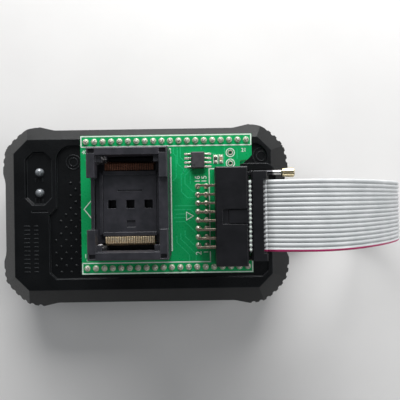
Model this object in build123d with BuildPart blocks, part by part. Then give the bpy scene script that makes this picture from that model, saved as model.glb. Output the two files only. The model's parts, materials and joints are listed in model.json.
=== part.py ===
from build123d import *
import os
from math import atan2, degrees, radians, tan

# USB programmer for chips and microcontrollers, with a flash adapter plugged into its
# 40-pin zero-insertion-force socket and a 16-way ribbon jumper back to its own ISP port.
# Millimetres. +Z is up, +X runs towards the ribbon, and the origin is the centre of the
# housing on the surface that its rubber feet stand on.

# ---- housing -----------------------------------------------------------------------
BODY_X = 108.0
BODY_Y = 67.5
FOOT_PROUD = 0.8            # the feet stand this far out of the base
BODY_TOP = 26.0
SPLIT_Z = 10.5              # parting line of the two shells
WALL = 2.4
CORNER_R = 16.0
WAIST = 1.6                 # how far the sides draw in between the corner bumpers
WAIST_SLOPE = 6.0
BEVEL = 7.5
BEVEL_SHIFT = 1.0           # the raised top sits a little towards +Y
OCTAGON_CUT = 9.4
RECESS_DEPTH = 1.0
COLLAR_HIGH = 2.0           # collar round the lever socket, above the housing's top

# ---- boards inside the housing -----------------------------------------------------
BOARD = 1.6
MAIN_BOARD_Z = 4.6
MAIN_TOP = MAIN_BOARD_Z + BOARD
ZIF_BOARD_Z = 20.4
ZIF_BOARD_TOP = ZIF_BOARD_Z + BOARD
SCREW_X = 42.0
SCREW_Y = 21.5

# ---- zero-insertion-force socket, on the same centre as the adapter ------------------
PITCH = 2.54
PINS = 20                   # in each row
SOCKET_X = 10.6
SOCKET_Y = 4.4
DIP_ROW = 7.62              # half the distance between the rows of the DIP footprint
ZIF_LEFT = -30.4
ZIF_RIGHT = 33.6
ZIF_HALF_Y = 11.4
ZIF_TOP = 31.0
COVER_GAP = 0.15
COVER_THICK = 2.05
COVER_TRAVEL = 0.8
DIP_PIN = 0.5
PIVOT_X = 27.4              # lever shaft, from the socket's centre
PIVOT_Z = 29.3
LEVER_Y = 10.4
SHAFT_R = 1.15
LEVER_END = BODY_X / 2 - 0.2

# ---- adapter: two boards joined by pin headers ---------------------------------------
ADAPTER_X = 51.6
ADAPTER_Y = 41.8
OUTER_ROW = 19.05           # half the distance between the rows at the adapter's edges
STRIP_BOTTOM = 33.5
LOWER_BOARD_Z = 35.7
LOWER_TOP = LOWER_BOARD_Z + BOARD
SOCKET_STRIP = 8.5
HEADER_STRIP = 2.5
UPPER_BOARD_Z = LOWER_TOP + SOCKET_STRIP + HEADER_STRIP
UPPER_TOP = UPPER_BOARD_Z + BOARD
HEADER_PIN = 0.64
NOTCH_LOW = -17.4           # the right edge is cut back between these two heights
NOTCH_HIGH = 12.7
NOTCH_X = 22.2

# ---- flash chip socket on the adapter -------------------------------------------------
TSOP_X = SOCKET_X - 9.94
TSOP_Y = SOCKET_Y + 0.4
TSOP_WIDE = 22.4
TSOP_LONG = 31.3
TSOP_HIGH = 11.0
FINGERS = 28
FINGER_PITCH = 0.5
FINGER_Y = 11.6             # hinge line of each row of contact fingers
FINGER_Z = UPPER_TOP + 1.3

# ---- box headers, ribbon plugs and ribbon ----------------------------------------------
HEADER_LONG = 28.0
HEADER_DEEP = 9.0
HEADER_HIGH = 9.0
CAVITY_LONG = 25.8
CAVITY_HIGH = 6.4
PLUG_LONG = 25.2
PLUG_HIGH = 6.0
HEADER_Y = SOCKET_Y - 3.7
ADAPTER_FACE = SOCKET_X + 23.4   # mating face of the adapter's header
ISP_FACE = 49.8                  # mating face of the housing's own port
ADAPTER_PLUG_Z = UPPER_TOP + HEADER_HIGH / 2
ISP_PLUG_Z = MAIN_TOP + HEADER_HIGH / 2
RIBBON_THICK = 0.9
RIBBON_WIDE = 16 * 1.27
FOLD_END = (5.6, 2.75)           # end of the folded ribbon, from the middle of the face
FOLD_END_LOW = (5.6, 3.1)
KEY_DEEP = 5.5                   # length of the key slot in a box header
KEY_STEP = 7.1

os.makedirs("parts", exist_ok=True)


def block(x, y, z, mode=Mode.ADD):
    """A box between three pairs of limits, in the builder that is open."""
    middle = (sum(x) / 2, sum(y) / 2, sum(z) / 2)
    with Locations(middle):
        Box(x[1] - x[0], y[1] - y[0], z[1] - z[0], mode=mode)


def socket_points(half_row, z):
    """The 2 x 20 pin positions of the DIP footprint or of the adapter's edges."""
    points = []
    for row in (-half_row, half_row):
        for i in range(PINS):
            points.append((SOCKET_X + (i - (PINS - 1) / 2) * PITCH, SOCKET_Y + row, z))
    return points


# ======================================================================================
# Housing
# ======================================================================================

def case_outline(inset):
    """The housing seen from above: round bumpers at the corners and waists between them."""
    half_x = BODY_X / 2 - inset
    half_y = BODY_Y / 2 - inset
    flat_x = 33.0
    flat_y = 13.5
    with BuildSketch() as outline:
        RectangleRounded(2 * half_x, 2 * half_y, CORNER_R - inset)
        for side in (1, -1):
            with BuildLine():
                Polyline(
                    (-flat_x - WAIST_SLOPE, side * (half_y + 1)),
                    (-flat_x - WAIST_SLOPE, side * half_y),
                    (-flat_x, side * (half_y - WAIST)),
                    (flat_x, side * (half_y - WAIST)),
                    (flat_x + WAIST_SLOPE, side * half_y),
                    (flat_x + WAIST_SLOPE, side * (half_y + 1)),
                    close=True,
                )
            make_face(mode=Mode.SUBTRACT)
            with BuildLine():
                Polyline(
                    (side * (half_x + 1), -flat_y - WAIST_SLOPE / 2),
                    (side * half_x, -flat_y - WAIST_SLOPE / 2),
                    (side * (half_x - WAIST), -flat_y),
                    (side * (half_x - WAIST), flat_y),
                    (side * half_x, flat_y + WAIST_SLOPE / 2),
                    (side * (half_x + 1), flat_y + WAIST_SLOPE / 2),
                    close=True,
                )
            make_face(mode=Mode.SUBTRACT)
        waist_ends = outline.vertices().filter_by(
            lambda v: abs(abs(v.X) - flat_x) < 0.01 or abs(abs(v.Y) - flat_y) < 0.01
        )
        fillet(waist_ends, radius=6)
    return outline.sketch


def case_block(inset, low, high):
    """The housing as a full block: an octagonal top with a wide bevel, cut to the outline."""
    half_y = BODY_Y / 2 + BEVEL_SHIFT - inset
    with BuildPart() as body:
        with BuildSketch(Plane.XY.offset(low)) as octagon:
            with Locations((0, BEVEL_SHIFT)):
                Rectangle(BODY_X - 2 * inset, 2 * half_y)
            chamfer(octagon.vertices(), OCTAGON_CUT - 0.586 * inset)
        extrude(amount=high - low)
        chamfer(body.faces().sort_by(Axis.Z)[-1].edges(), BEVEL)
        with BuildSketch(Plane.XY.offset(low)):
            add(case_outline(inset))
        extrude(amount=high - low, mode=Mode.INTERSECT)
    return body.part


CASE_OUTER = case_block(0, FOOT_PROUD, BODY_TOP)
CASE_HOLLOW = case_block(WALL, FOOT_PROUD + WALL, BODY_TOP - WALL)
SCREW_POINTS = [(x, y) for x in (-SCREW_X, SCREW_X) for y in (-SCREW_Y, SCREW_Y)]
FOOT_POINTS = [(x, y) for x in (-29.0, 29.0) for y in (-23.0, 23.0)]
FOOT_R = 5.0
LED_POINTS = [(-37.4, 16.4), (-37.4, 9.0)]
USB_LEFT = -52.2
USB_WIDE = 12.0
USB_HIGH = 11.0
USB_DEEP = 16.0


def cut_grip_notches():
    """Upright notches round each corner bumper, in the builder that is open."""
    notches = 8
    pitch = 10.5
    notch_r = 0.8
    above_bevel = 2.2       # the notches run out into the bevel
    low = SPLIT_Z - 8.0
    high = BODY_TOP - BEVEL + above_bevel
    for x_side in (1, -1):
        for y_side in (1, -1):
            corner = Location((x_side * (BODY_X / 2 - CORNER_R), y_side * (BODY_Y / 2 - CORNER_R)))
            middle = degrees(atan2(y_side, x_side))
            with Locations(corner):
                with PolarLocations(
                    CORNER_R + 0.1, notches, start_angle=middle - (notches - 1) * pitch / 2,
                    angular_range=notches * pitch, rotate=False
                ):
                    with Locations((0, 0, (low + high) / 2)):
                        Cylinder(notch_r, high - low, mode=Mode.SUBTRACT)


def cut_ports():
    """Openings for the USB receptacle and the ISP port, in the builder that is open."""
    usb_gap = 0.3
    block(
        (-BODY_X / 2 - 1, -BODY_X / 2 + 3 * WALL),
        (-USB_WIDE / 2 - usb_gap, USB_WIDE / 2 + usb_gap),
        (MAIN_TOP - usb_gap, MAIN_TOP + USB_HIGH + usb_gap),
        Mode.SUBTRACT,
    )
    block(
        (ISP_FACE - 3, BODY_X / 2 + 1),
        (HEADER_Y - HEADER_LONG / 2 - 0.2, HEADER_Y + HEADER_LONG / 2 + 0.2),
        (MAIN_TOP - 0.6, MAIN_TOP + HEADER_HIGH + 0.2),
        Mode.SUBTRACT,
    )


def make_bottom_shell():
    lip_thick = 1.2
    lip_high = 1.5
    lip_outer = case_outline(WALL + 0.05)
    lip_inner = case_outline(WALL + lip_thick)
    with BuildPart() as bottom_shell:
        add(CASE_OUTER)
        split(bisect_by=Plane.XY.offset(SPLIT_Z), keep=Keep.BOTTOM)
        add(CASE_HOLLOW, mode=Mode.SUBTRACT)
        # the lip that locates the top shell
        with BuildSketch(Plane.XY.offset(SPLIT_Z - lip_high)):
            add(lip_outer)
            add(lip_inner, mode=Mode.SUBTRACT)
        extrude(amount=2 * lip_high)
        # pillars that carry the main board and pass the screws
        with Locations(*[(x, y, MAIN_BOARD_Z / 2 + FOOT_PROUD / 2) for x, y in SCREW_POINTS]):
            Cylinder(3.8, MAIN_BOARD_Z - FOOT_PROUD)
        with Locations(*[(x, y, FOOT_PROUD + 2) for x, y in SCREW_POINTS]):
            Cylinder(1.6, 10, mode=Mode.SUBTRACT)
        with Locations(*[(x, y, FOOT_PROUD + 0.9) for x, y in SCREW_POINTS]):
            Cylinder(3.1, 1.8, mode=Mode.SUBTRACT)
        with Locations(*[(x, y, FOOT_PROUD + 0.4) for x, y in FOOT_POINTS]):
            Cylinder(FOOT_R, 0.8, mode=Mode.SUBTRACT)
        cut_grip_notches()
        cut_ports()
    bottom_shell.part.label = "bottom_shell"
    export_step(bottom_shell.part, "parts/bottom_shell.step")


def panel_outline():
    """The shallow panel round the socket, set back beside the indicator window."""
    left, right = -33.9, 45.2
    low, high = -22.3, 26.0
    set_back = -31.2
    step_low, step_high = 1.0, 3.6
    cut = 2.3
    with BuildSketch() as panel:
        with BuildLine():
            Polyline(
                (left + cut, low),
                (right - cut, low),
                (right, low + cut),
                (right, high),
                (set_back, high),
                (set_back, step_high),
                (left, step_low),
                (left, low + cut),
                close=True,
            )
        make_face()
        fillet(panel.vertices().group_by(Axis.Y)[-1], radius=5.5)
    return panel.sketch


def make_top_shell():
    window_x = -37.6
    window_y = 14.2
    with BuildPart() as top_shell:
        add(CASE_OUTER)
        split(bisect_by=Plane.XY.offset(SPLIT_Z), keep=Keep.TOP)
        add(CASE_HOLLOW, mode=Mode.SUBTRACT)
        # pillars that hold the main board down and take the screws
        with Locations(*[(x, y, (MAIN_TOP + BODY_TOP - 1.5) / 2) for x, y in SCREW_POINTS]):
            Cylinder(3.4, BODY_TOP - 1.5 - MAIN_TOP)
        with Locations(*[(x, y, MAIN_TOP + 5) for x, y in SCREW_POINTS]):
            Cylinder(1.5, 10, mode=Mode.SUBTRACT)
        # shallow panel round the socket, with a low collar in it
        with BuildSketch(Plane.XY.offset(BODY_TOP - RECESS_DEPTH)):
            add(panel_outline())
        extrude(amount=5, mode=Mode.SUBTRACT)
        collar_left, collar_right = ZIF_LEFT - 1.3, ZIF_RIGHT + 3.5
        with BuildSketch(Plane.XY.offset(BODY_TOP - RECESS_DEPTH - 1)):
            with Locations((SOCKET_X + (collar_left + collar_right) / 2, SOCKET_Y)):
                RectangleRounded(collar_right - collar_left, 2 * ZIF_HALF_Y + 5.2, 4.0)
        extrude(amount=COLLAR_HIGH + RECESS_DEPTH + 1)
        block(
            (SOCKET_X + ZIF_LEFT - 0.2, SOCKET_X + ZIF_RIGHT + 0.2),
            (SOCKET_Y - ZIF_HALF_Y - 0.2, SOCKET_Y + ZIF_HALF_Y + 0.2),
            (BODY_TOP - 6, BODY_TOP + 6),
            Mode.SUBTRACT,
        )
        # indicator window with cut corners, light holes and a short dash below it
        with BuildSketch(Plane.XY.offset(BODY_TOP)) as window:
            with Locations((window_x, window_y)):
                Rectangle(9.7, 19.3)
            chamfer(window.vertices(), 2.6)
        extrude(amount=-0.9, taper=25, mode=Mode.SUBTRACT)
        with Locations(*[(x, y, BODY_TOP) for x, y in LED_POINTS]):
            Cylinder(1.55, 8, mode=Mode.SUBTRACT)
        block((-40.2, -34.4), (2.0, 2.6), (BODY_TOP - 0.35, BODY_TOP + 1), Mode.SUBTRACT)
        cut_grip_notches()
        cut_ports()
    top_shell.part.label = "top_shell"
    export_step(top_shell.part, "parts/top_shell.step")


def make_case_screws():
    with BuildPart() as case_screws:
        with Locations(*[(x, y, FOOT_PROUD + 1.0) for x, y in SCREW_POINTS]):
            Cylinder(2.8, 1.6)
        with Locations(*[(x, y, FOOT_PROUD + 7.0) for x, y in SCREW_POINTS]):
            Cylinder(1.45, 12.0)
        for angle in (0, 90):
            with Locations(*[Location((x, y, FOOT_PROUD), (0, 0, angle)) for x, y in SCREW_POINTS]):
                Box(3.0, 0.6, 1.8, mode=Mode.SUBTRACT)
    case_screws.part.label = "case_screws"
    export_step(case_screws.part, "parts/case_screws.step")


def make_rubber_feet():
    with BuildPart() as rubber_feet:
        with Locations(*[(x, y, FOOT_PROUD) for x, y in FOOT_POINTS]):
            Cylinder(FOOT_R - 0.05, 2 * FOOT_PROUD)
        chamfer(rubber_feet.faces().group_by(Axis.Z)[0].edges(), 0.3)
    rubber_feet.part.label = "rubber_feet"
    export_step(rubber_feet.part, "parts/rubber_feet.step")


# ======================================================================================
# Boards and parts inside the housing
# ======================================================================================

LINK_STRIPS = [(-27.5, 1.0, 90), (24.0, -11.6, 0)]   # middle and direction of each 2 x 10 strip


def link_points():
    """The pins of both strips."""
    points = []
    for x, y, angle in LINK_STRIPS:
        for column in (-1, 1):
            for i in range(10):
                along, across = (i - 4.5) * PITCH, column * PITCH / 2
                points.append((x + across, y + along) if angle else (x + along, y + across))
    return points


def header_pin_x(face, row):
    """X of the upright leg of a right-angled header pin; row 0 is the lower row."""
    return face - HEADER_DEEP - 2.46 - row * PITCH


def header_leg_points(face):
    return [
        (header_pin_x(face, row), HEADER_Y + (i - 3.5) * PITCH)
        for row in (0, 1) for i in range(8)
    ]


def make_main_board():
    with BuildPart() as main_board:
        with BuildSketch(Plane.XY.offset(MAIN_BOARD_Z)):
            RectangleRounded(98, 58, 11)
            with Locations(*SCREW_POINTS):
                Circle(1.7, mode=Mode.SUBTRACT)
            with Locations(*header_leg_points(ISP_FACE)):
                Circle(0.5, mode=Mode.SUBTRACT)
            with Locations(*link_points()):
                Circle(0.5, mode=Mode.SUBTRACT)
        extrude(amount=BOARD)
    main_board.part.label = "main_board"
    export_step(main_board.part, "parts/main_board.step")


def make_board_parts():
    """The parts on the main board that make it a programmer."""
    with BuildPart() as controller_chip:
        block((-8, 6), (-20, -6), (MAIN_TOP + 0.1, MAIN_TOP + 1.5))
        for angle in (0, 90, 180, 270):
            with Locations(Location((-1, -13, MAIN_TOP + 0.35), (0, 0, angle))):
                with Locations((7.5, 0, 0)):
                    with GridLocations(1, 0.8, 1, 16):
                        Box(1.0, 0.35, 0.7)
    controller_chip.part.label = "controller_chip"
    export_step(controller_chip.part, "parts/controller_chip.step")

    with BuildPart() as logic_chip:
        block((-8, 4), (6, 18), (MAIN_TOP, MAIN_TOP + 1.4))
        chamfer(logic_chip.faces().sort_by(Axis.Z)[-1].edges(), 0.2)
    logic_chip.part.label = "logic_chip"
    export_step(logic_chip.part, "parts/logic_chip.step")

    with BuildPart() as driver_chips:
        with Locations(*[(x, y, MAIN_TOP + 0.8) for x in (18, 30) for y in (-18, 18)]):
            Box(8.7, 3.9, 1.6)
            for side in (-1, 1):
                with GridLocations(1.27, 1, 6, 1):
                    with Locations((0, side * 2.45, -0.4)):
                        Box(0.4, 1.0, 0.8)
    driver_chips.part.label = "driver_chips"
    export_step(driver_chips.part, "parts/driver_chips.step")

    with BuildPart() as power_inductor:
        with BuildSketch(Plane.XY.offset(MAIN_TOP)):
            with Locations((-18, -20)):
                RectangleRounded(7.5, 7.5, 1.6)
        extrude(amount=4.0)
        with Locations((-18, -20, MAIN_TOP + 4.0)):
            Cylinder(2.2, 0.6, mode=Mode.SUBTRACT)
    power_inductor.part.label = "power_inductor"
    export_step(power_inductor.part, "parts/power_inductor.step")

    with BuildPart() as capacitors:
        with Locations(*[(-18, y, MAIN_TOP + 0.6) for y in (15, 23)]):
            Box(6.6, 6.6, 1.2)
        with Locations(*[(-18, y, MAIN_TOP + 4.2) for y in (15, 23)]):
            Cylinder(3.15, 6.0)
        chamfer(capacitors.faces().group_by(Axis.Z)[-1].edges(), 0.4)
    capacitors.part.label = "capacitors"
    export_step(capacitors.part, "parts/capacitors.step")

    with BuildPart() as crystal:
        with BuildSketch(Plane.XY.offset(MAIN_TOP)):
            with Locations((12, -5)):
                SlotOverall(11.0, 4.6)
        extrude(amount=3.5)
        fillet(crystal.faces().sort_by(Axis.Z)[-1].edges(), 0.5)
    crystal.part.label = "crystal"
    export_step(crystal.part, "parts/crystal.step")


def make_usb_receptacle():
    wall = 0.4
    inside = (USB_LEFT, USB_LEFT + USB_DEEP - 2.0)
    low, high = MAIN_TOP, MAIN_TOP + USB_HIGH
    half = USB_WIDE / 2
    with BuildPart() as usb_shell:
        block((USB_LEFT, USB_LEFT + USB_DEEP), (-half, half), (low, high))
        block(
            (USB_LEFT - 1, inside[1]),
            (-half + wall, half - wall),
            (low + wall, high - wall),
            Mode.SUBTRACT,
        )
    usb_shell.part.label = "usb_shell"
    export_step(usb_shell.part, "parts/usb_shell.step")

    # the moulding fills the shell except for the plug's space and carries the tongue
    middle = (low + high) / 2
    lining = (low + wall, high - wall)
    with BuildPart() as usb_insulator:
        block((USB_LEFT + 0.4, inside[1]), (-half + wall, half - wall), lining)
        with BuildSketch(Plane.YZ.offset(USB_LEFT - 1)) as mouth:
            with Locations((0, middle)):
                Rectangle(8.5, 7.9)
            chamfer(mouth.vertices().group_by(Axis.Z)[-1], 1.9)
        extrude(amount=11.0, mode=Mode.SUBTRACT)
        block((USB_LEFT + 2.0, USB_LEFT + 11.0), (-2.8, 2.8), (middle - 1.6, middle + 1.6))
    usb_insulator.part.label = "usb_insulator"
    export_step(usb_insulator.part, "parts/usb_insulator.step")

    with BuildPart() as usb_contacts:
        for side in (-1, 1):
            z = middle + side * 1.75
            with Locations(*[(USB_LEFT + 6.5, y, z) for y in (-1.25, 1.25)]):
                Box(7.0, 1.0, 0.3)
    usb_contacts.part.label = "usb_contacts"
    export_step(usb_contacts.part, "parts/usb_contacts.step")


def link_places(z):
    """The middle of each strip at one height, turned to lie along it."""
    return [Location((x, y, z), (0, 0, angle)) for x, y, angle in LINK_STRIPS]


def make_board_link():
    """Two 2 x 10 strips that carry the signals from the main board to the socket's board."""
    socket_top = MAIN_TOP + 8.5
    header_bottom = ZIF_BOARD_Z - 5.7
    with BuildPart() as link_sockets:
        with Locations(*link_places((MAIN_TOP + socket_top) / 2)):
            Box(10 * PITCH, 2 * PITCH, 8.5)
        with Locations(*[(x, y, (MAIN_TOP + socket_top) / 2) for x, y in link_points()]):
            Box(HEADER_PIN, HEADER_PIN, 9, mode=Mode.SUBTRACT)
    link_sockets.part.label = "link_sockets"
    export_step(link_sockets.part, "parts/link_sockets.step")

    with BuildPart() as link_headers:
        with Locations(*link_places((header_bottom + ZIF_BOARD_Z) / 2)):
            Box(10 * PITCH, 2 * PITCH, ZIF_BOARD_Z - header_bottom)
        with Locations(*[(x, y, ZIF_BOARD_Z - 3) for x, y in link_points()]):
            Box(HEADER_PIN, HEADER_PIN, 8, mode=Mode.SUBTRACT)
    link_headers.part.label = "link_headers"
    export_step(link_headers.part, "parts/link_headers.step")

    pin_low = MAIN_TOP - 2.2
    pin_high = ZIF_BOARD_TOP + 0.8
    with BuildPart() as link_pins:
        with Locations(*[(x, y, (pin_low + pin_high) / 2) for x, y in link_points()]):
            Box(HEADER_PIN, HEADER_PIN, pin_high - pin_low)
    link_pins.part.label = "link_pins"
    export_step(link_pins.part, "parts/link_pins.step")


def make_zif_board():
    with BuildPart() as zif_board:
        with BuildSketch(Plane.XY.offset(ZIF_BOARD_Z)):
            with Locations((1.5, 1.2)):
                RectangleRounded(86, 33.4, 2)
            with Locations(*[(x, y) for x, y, z in socket_points(DIP_ROW, 0)]):
                Circle(0.5, mode=Mode.SUBTRACT)
            with Locations(*link_points()):
                Circle(0.5, mode=Mode.SUBTRACT)
        extrude(amount=BOARD)
    zif_board.part.label = "zif_board"
    export_step(zif_board.part, "parts/zif_board.step")


def make_leds():
    """Two 3 mm indicators, whose domes stand up through the window."""
    with BuildPart() as leds:
        with Locations(*[(x, y, ZIF_BOARD_TOP + 0.5) for x, y in LED_POINTS]):
            Cylinder(1.9, 1.0)
        with Locations(*[(x, y, ZIF_BOARD_TOP + 1.75) for x, y in LED_POINTS]):
            Cylinder(1.5, 3.5)
        with Locations(*[(x, y, ZIF_BOARD_TOP + 3.5) for x, y in LED_POINTS]):
            Sphere(1.5)
    leds.part.label = "leds"
    export_step(leds.part, "parts/leds.step")


# ======================================================================================
# Zero-insertion-force socket
# ======================================================================================

def make_zif_base():
    pocket_y = 3.2
    with BuildPart() as zif_base:
        block(
            (SOCKET_X + ZIF_LEFT, SOCKET_X + ZIF_RIGHT),
            (SOCKET_Y - ZIF_HALF_Y, SOCKET_Y + ZIF_HALF_Y),
            (ZIF_BOARD_TOP, ZIF_TOP),
        )
        # the raised end block over the lever's shaft
        block(
            (SOCKET_X + 25.6, SOCKET_X + ZIF_RIGHT),
            (SOCKET_Y - ZIF_HALF_Y, SOCKET_Y + ZIF_HALF_Y),
            (ZIF_TOP - 1, ZIF_TOP + COVER_GAP + COVER_THICK),
        )
        # long channel between the rows, which guides the cover
        block(
            (SOCKET_X + ZIF_LEFT + 3, SOCKET_X + 24),
            (SOCKET_Y - 3.6, SOCKET_Y + 3.6),
            (ZIF_TOP - 4, ZIF_TOP + 1),
            Mode.SUBTRACT,
        )
        # pockets for the contacts, open at the top, with a hole for each tail
        with Locations(*socket_points(DIP_ROW, (ZIF_TOP + ZIF_BOARD_TOP + 1.2) / 2)):
            Box(1.5, pocket_y, ZIF_TOP - ZIF_BOARD_TOP - 1.2, mode=Mode.SUBTRACT)
        with Locations(*socket_points(DIP_ROW, ZIF_BOARD_TOP + 1)):
            Box(0.5, 0.5, 4, mode=Mode.SUBTRACT)
        # channel for the lever along the +Y side, open above and at the end
        block(
            (SOCKET_X + 25.0, SOCKET_X + ZIF_RIGHT + 1),
            (SOCKET_Y + LEVER_Y - 1.35, SOCKET_Y + ZIF_HALF_Y + 1),
            (PIVOT_Z - 2.0, BODY_TOP + 12),
            Mode.SUBTRACT,
        )
        # bearing for the shaft, from the channel to a blind end
        with Locations(Location((SOCKET_X + PIVOT_X, SOCKET_Y, PIVOT_Z), (90, 0, 0))):
            Cylinder(SHAFT_R + 0.05, 2 * 9.6, mode=Mode.SUBTRACT)
    zif_base.part.label = "zif_base"
    export_step(zif_base.part, "parts/zif_base.step")


def make_zif_contacts():
    """Forty sprung forks. Each grips a pin of the adapter between its two leaves."""
    leaf = 0.3
    fork_low = ZIF_BOARD_TOP + 1.6
    with BuildPart() as zif_contacts:
        with Locations(*socket_points(DIP_ROW, 0)):
            with Locations((0, 0, (ZIF_BOARD_Z - 0.8 + fork_low + 0.3) / 2)):
                Box(0.5, 0.5, fork_low + 0.3 - ZIF_BOARD_Z + 0.8)
            with Locations((0, 0, fork_low + 0.3)):
                Box(DIP_PIN + 2 * leaf, 1.0, 0.6)
            for side in (-1, 1):
                with Locations((side * (DIP_PIN + leaf) / 2, 0, fork_low + 3.3)):
                    Box(leaf, 1.0, 6.2)
    zif_contacts.part.label = "zif_contacts"
    export_step(zif_contacts.part, "parts/zif_contacts.step")


def make_zif_cover():
    low = ZIF_TOP + COVER_GAP
    left, right = SOCKET_X + ZIF_LEFT + 0.4, SOCKET_X + 24.6
    slot_long = DIP_PIN + 2 * 0.25 + COVER_TRAVEL
    with BuildPart() as zif_cover:
        block((left, right), (SOCKET_Y - 11.1, SOCKET_Y + 11.1), (low, low + COVER_THICK))
        chamfer(zif_cover.edges().group_by(Axis.Z)[-1], 0.4)
        # finger hollow between the rows
        block((left + 3.5, right - 4), (SOCKET_Y - 2.6, SOCKET_Y + 2.6), (low + 0.8, low + 4), Mode.SUBTRACT)
        # rails that run in the base's channel
        for side in (-1, 1):
            y = SOCKET_Y + side * 2.6
            block((left + 4, right - 4.5), (y - 0.7, y + 0.7), (low - 2.5, low))
        with Locations(*socket_points(DIP_ROW, low)):
            with Locations((-COVER_TRAVEL / 2, 0, 0)):
                Box(slot_long, 1.1, 8, mode=Mode.SUBTRACT)
    zif_cover.part.label = "zif_cover"
    export_step(zif_cover.part, "parts/zif_cover.step")


def make_zif_lever():
    pivot_x = SOCKET_X + PIVOT_X
    arm_y = SOCKET_Y + LEVER_Y
    knob_x = LEVER_END - 4.6
    arm_r = 0.95
    with BuildPart() as zif_lever:
        # shaft across the socket
        with Locations(Location((pivot_x, SOCKET_Y + 0.45, PIVOT_Z), (90, 0, 0))):
            Cylinder(SHAFT_R, 18.2)
        # hub in the side channel, and the arm that lies along it
        with Locations(Location((pivot_x, arm_y, PIVOT_Z), (90, 0, 0))):
            Cylinder(1.75, 1.7)
        with BuildSketch(Plane.YZ.offset(pivot_x)):
            with Locations((arm_y, PIVOT_Z)):
                Circle(arm_r)
        extrude(amount=knob_x - pivot_x)
    zif_lever.part.label = "zif_lever"
    export_step(zif_lever.part, "parts/zif_lever.step")

    with BuildPart() as zif_lever_knob:
        with BuildSketch(Plane.XZ.offset(-arm_y)):
            with BuildLine():
                Polyline(
                    (knob_x, PIVOT_Z),
                    (knob_x, PIVOT_Z + 1.1),
                    (knob_x + 0.4, PIVOT_Z + 1.5),
                    (LEVER_END - 0.3, PIVOT_Z + 1.75),
                    (LEVER_END, PIVOT_Z + 1.45),
                    (LEVER_END, PIVOT_Z),
                    close=True,
                )
            make_face()
        revolve(axis=Axis((knob_x, arm_y, PIVOT_Z), (1, 0, 0)))
    zif_lever_knob.part.label = "zif_lever_knob"
    export_step(zif_lever_knob.part, "parts/zif_lever_knob.step")


# ======================================================================================
# Adapter boards and headers
# ======================================================================================

def adapter_outline(hole_groups):
    """Board outline with the cut-back right edge, and round holes at the given points."""
    half_x, half_y = ADAPTER_X / 2, ADAPTER_Y / 2
    with BuildSketch() as outline:
        with BuildLine():
            Polyline(
                (SOCKET_X - half_x, SOCKET_Y - half_y),
                (SOCKET_X + half_x, SOCKET_Y - half_y),
                (SOCKET_X + half_x, SOCKET_Y + NOTCH_LOW),
                (SOCKET_X + NOTCH_X, SOCKET_Y + NOTCH_LOW),
                (SOCKET_X + NOTCH_X, SOCKET_Y + NOTCH_HIGH),
                (SOCKET_X + half_x - 1.3, SOCKET_Y + NOTCH_HIGH + 0.3),
                (SOCKET_X + half_x, SOCKET_Y + NOTCH_HIGH + 1.7),
                (SOCKET_X + half_x, SOCKET_Y + half_y),
                (SOCKET_X - half_x, SOCKET_Y + half_y),
                close=True,
            )
        make_face()
        for points, radius in hole_groups:
            with Locations(*[(p[0], p[1]) for p in points]):
                Circle(radius, mode=Mode.SUBTRACT)
    return outline.sketch


SPARE_HOLES = [(SOCKET_X + 19.35, SOCKET_Y + 15.2), (SOCKET_X + 19.35, SOCKET_Y + 12.0)]


def make_adapter_boards():
    pin_holes = (socket_points(OUTER_ROW, 0), 0.5)
    lower_outline = adapter_outline([pin_holes, (socket_points(DIP_ROW, 0), 0.5)])
    upper_outline = adapter_outline(
        [pin_holes, (header_leg_points(ADAPTER_FACE), 0.5), (SPARE_HOLES, 0.5)]
    )
    with BuildPart() as lower_board:
        with BuildSketch(Plane.XY.offset(LOWER_BOARD_Z)):
            add(lower_outline)
        extrude(amount=BOARD)
    lower_board.part.label = "lower_board"
    export_step(lower_board.part, "parts/lower_board.step")

    with BuildPart() as upper_board:
        with BuildSketch(Plane.XY.offset(UPPER_BOARD_Z)):
            add(upper_outline)
        extrude(amount=BOARD)
    upper_board.part.label = "upper_board"
    export_step(upper_board.part, "parts/upper_board.step")


def pin_group(half_row, size, low, high):
    with BuildPart() as pins:
        with Locations(*socket_points(half_row, (low + high) / 2)):
            Box(size, size, high - low)
    return pins


def strip_edge(y, face):
    """Points along one long side of a strip, with a small V where it can be snapped off."""
    notch = 0.3
    points = [(SOCKET_X - PINS * PITCH / 2, y + face * 1.25)]
    for i in range(1, PINS):
        x = SOCKET_X + (i - PINS / 2) * PITCH
        points += [(x - notch, y + face * 1.25), (x, y + face * (1.25 - notch)), (x + notch, y + face * 1.25)]
    points.append((SOCKET_X + PINS * PITCH / 2, y + face * 1.25))
    return points


def strip_pair(half_row, low, high, hole_x, hole_y):
    """Two moulded 1 x 20 strips with a hole for each pin."""
    with BuildPart() as strips:
        with BuildSketch(Plane.XY.offset(low)):
            for y in (SOCKET_Y - half_row, SOCKET_Y + half_row):
                with BuildLine():
                    Polyline(*strip_edge(y, -1), *reversed(strip_edge(y, 1)), close=True)
                make_face()
            with Locations(*[(x, y) for x, y, z in socket_points(half_row, 0)]):
                Rectangle(hole_x, hole_y, mode=Mode.SUBTRACT)
        extrude(amount=high - low)
    return strips


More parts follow.
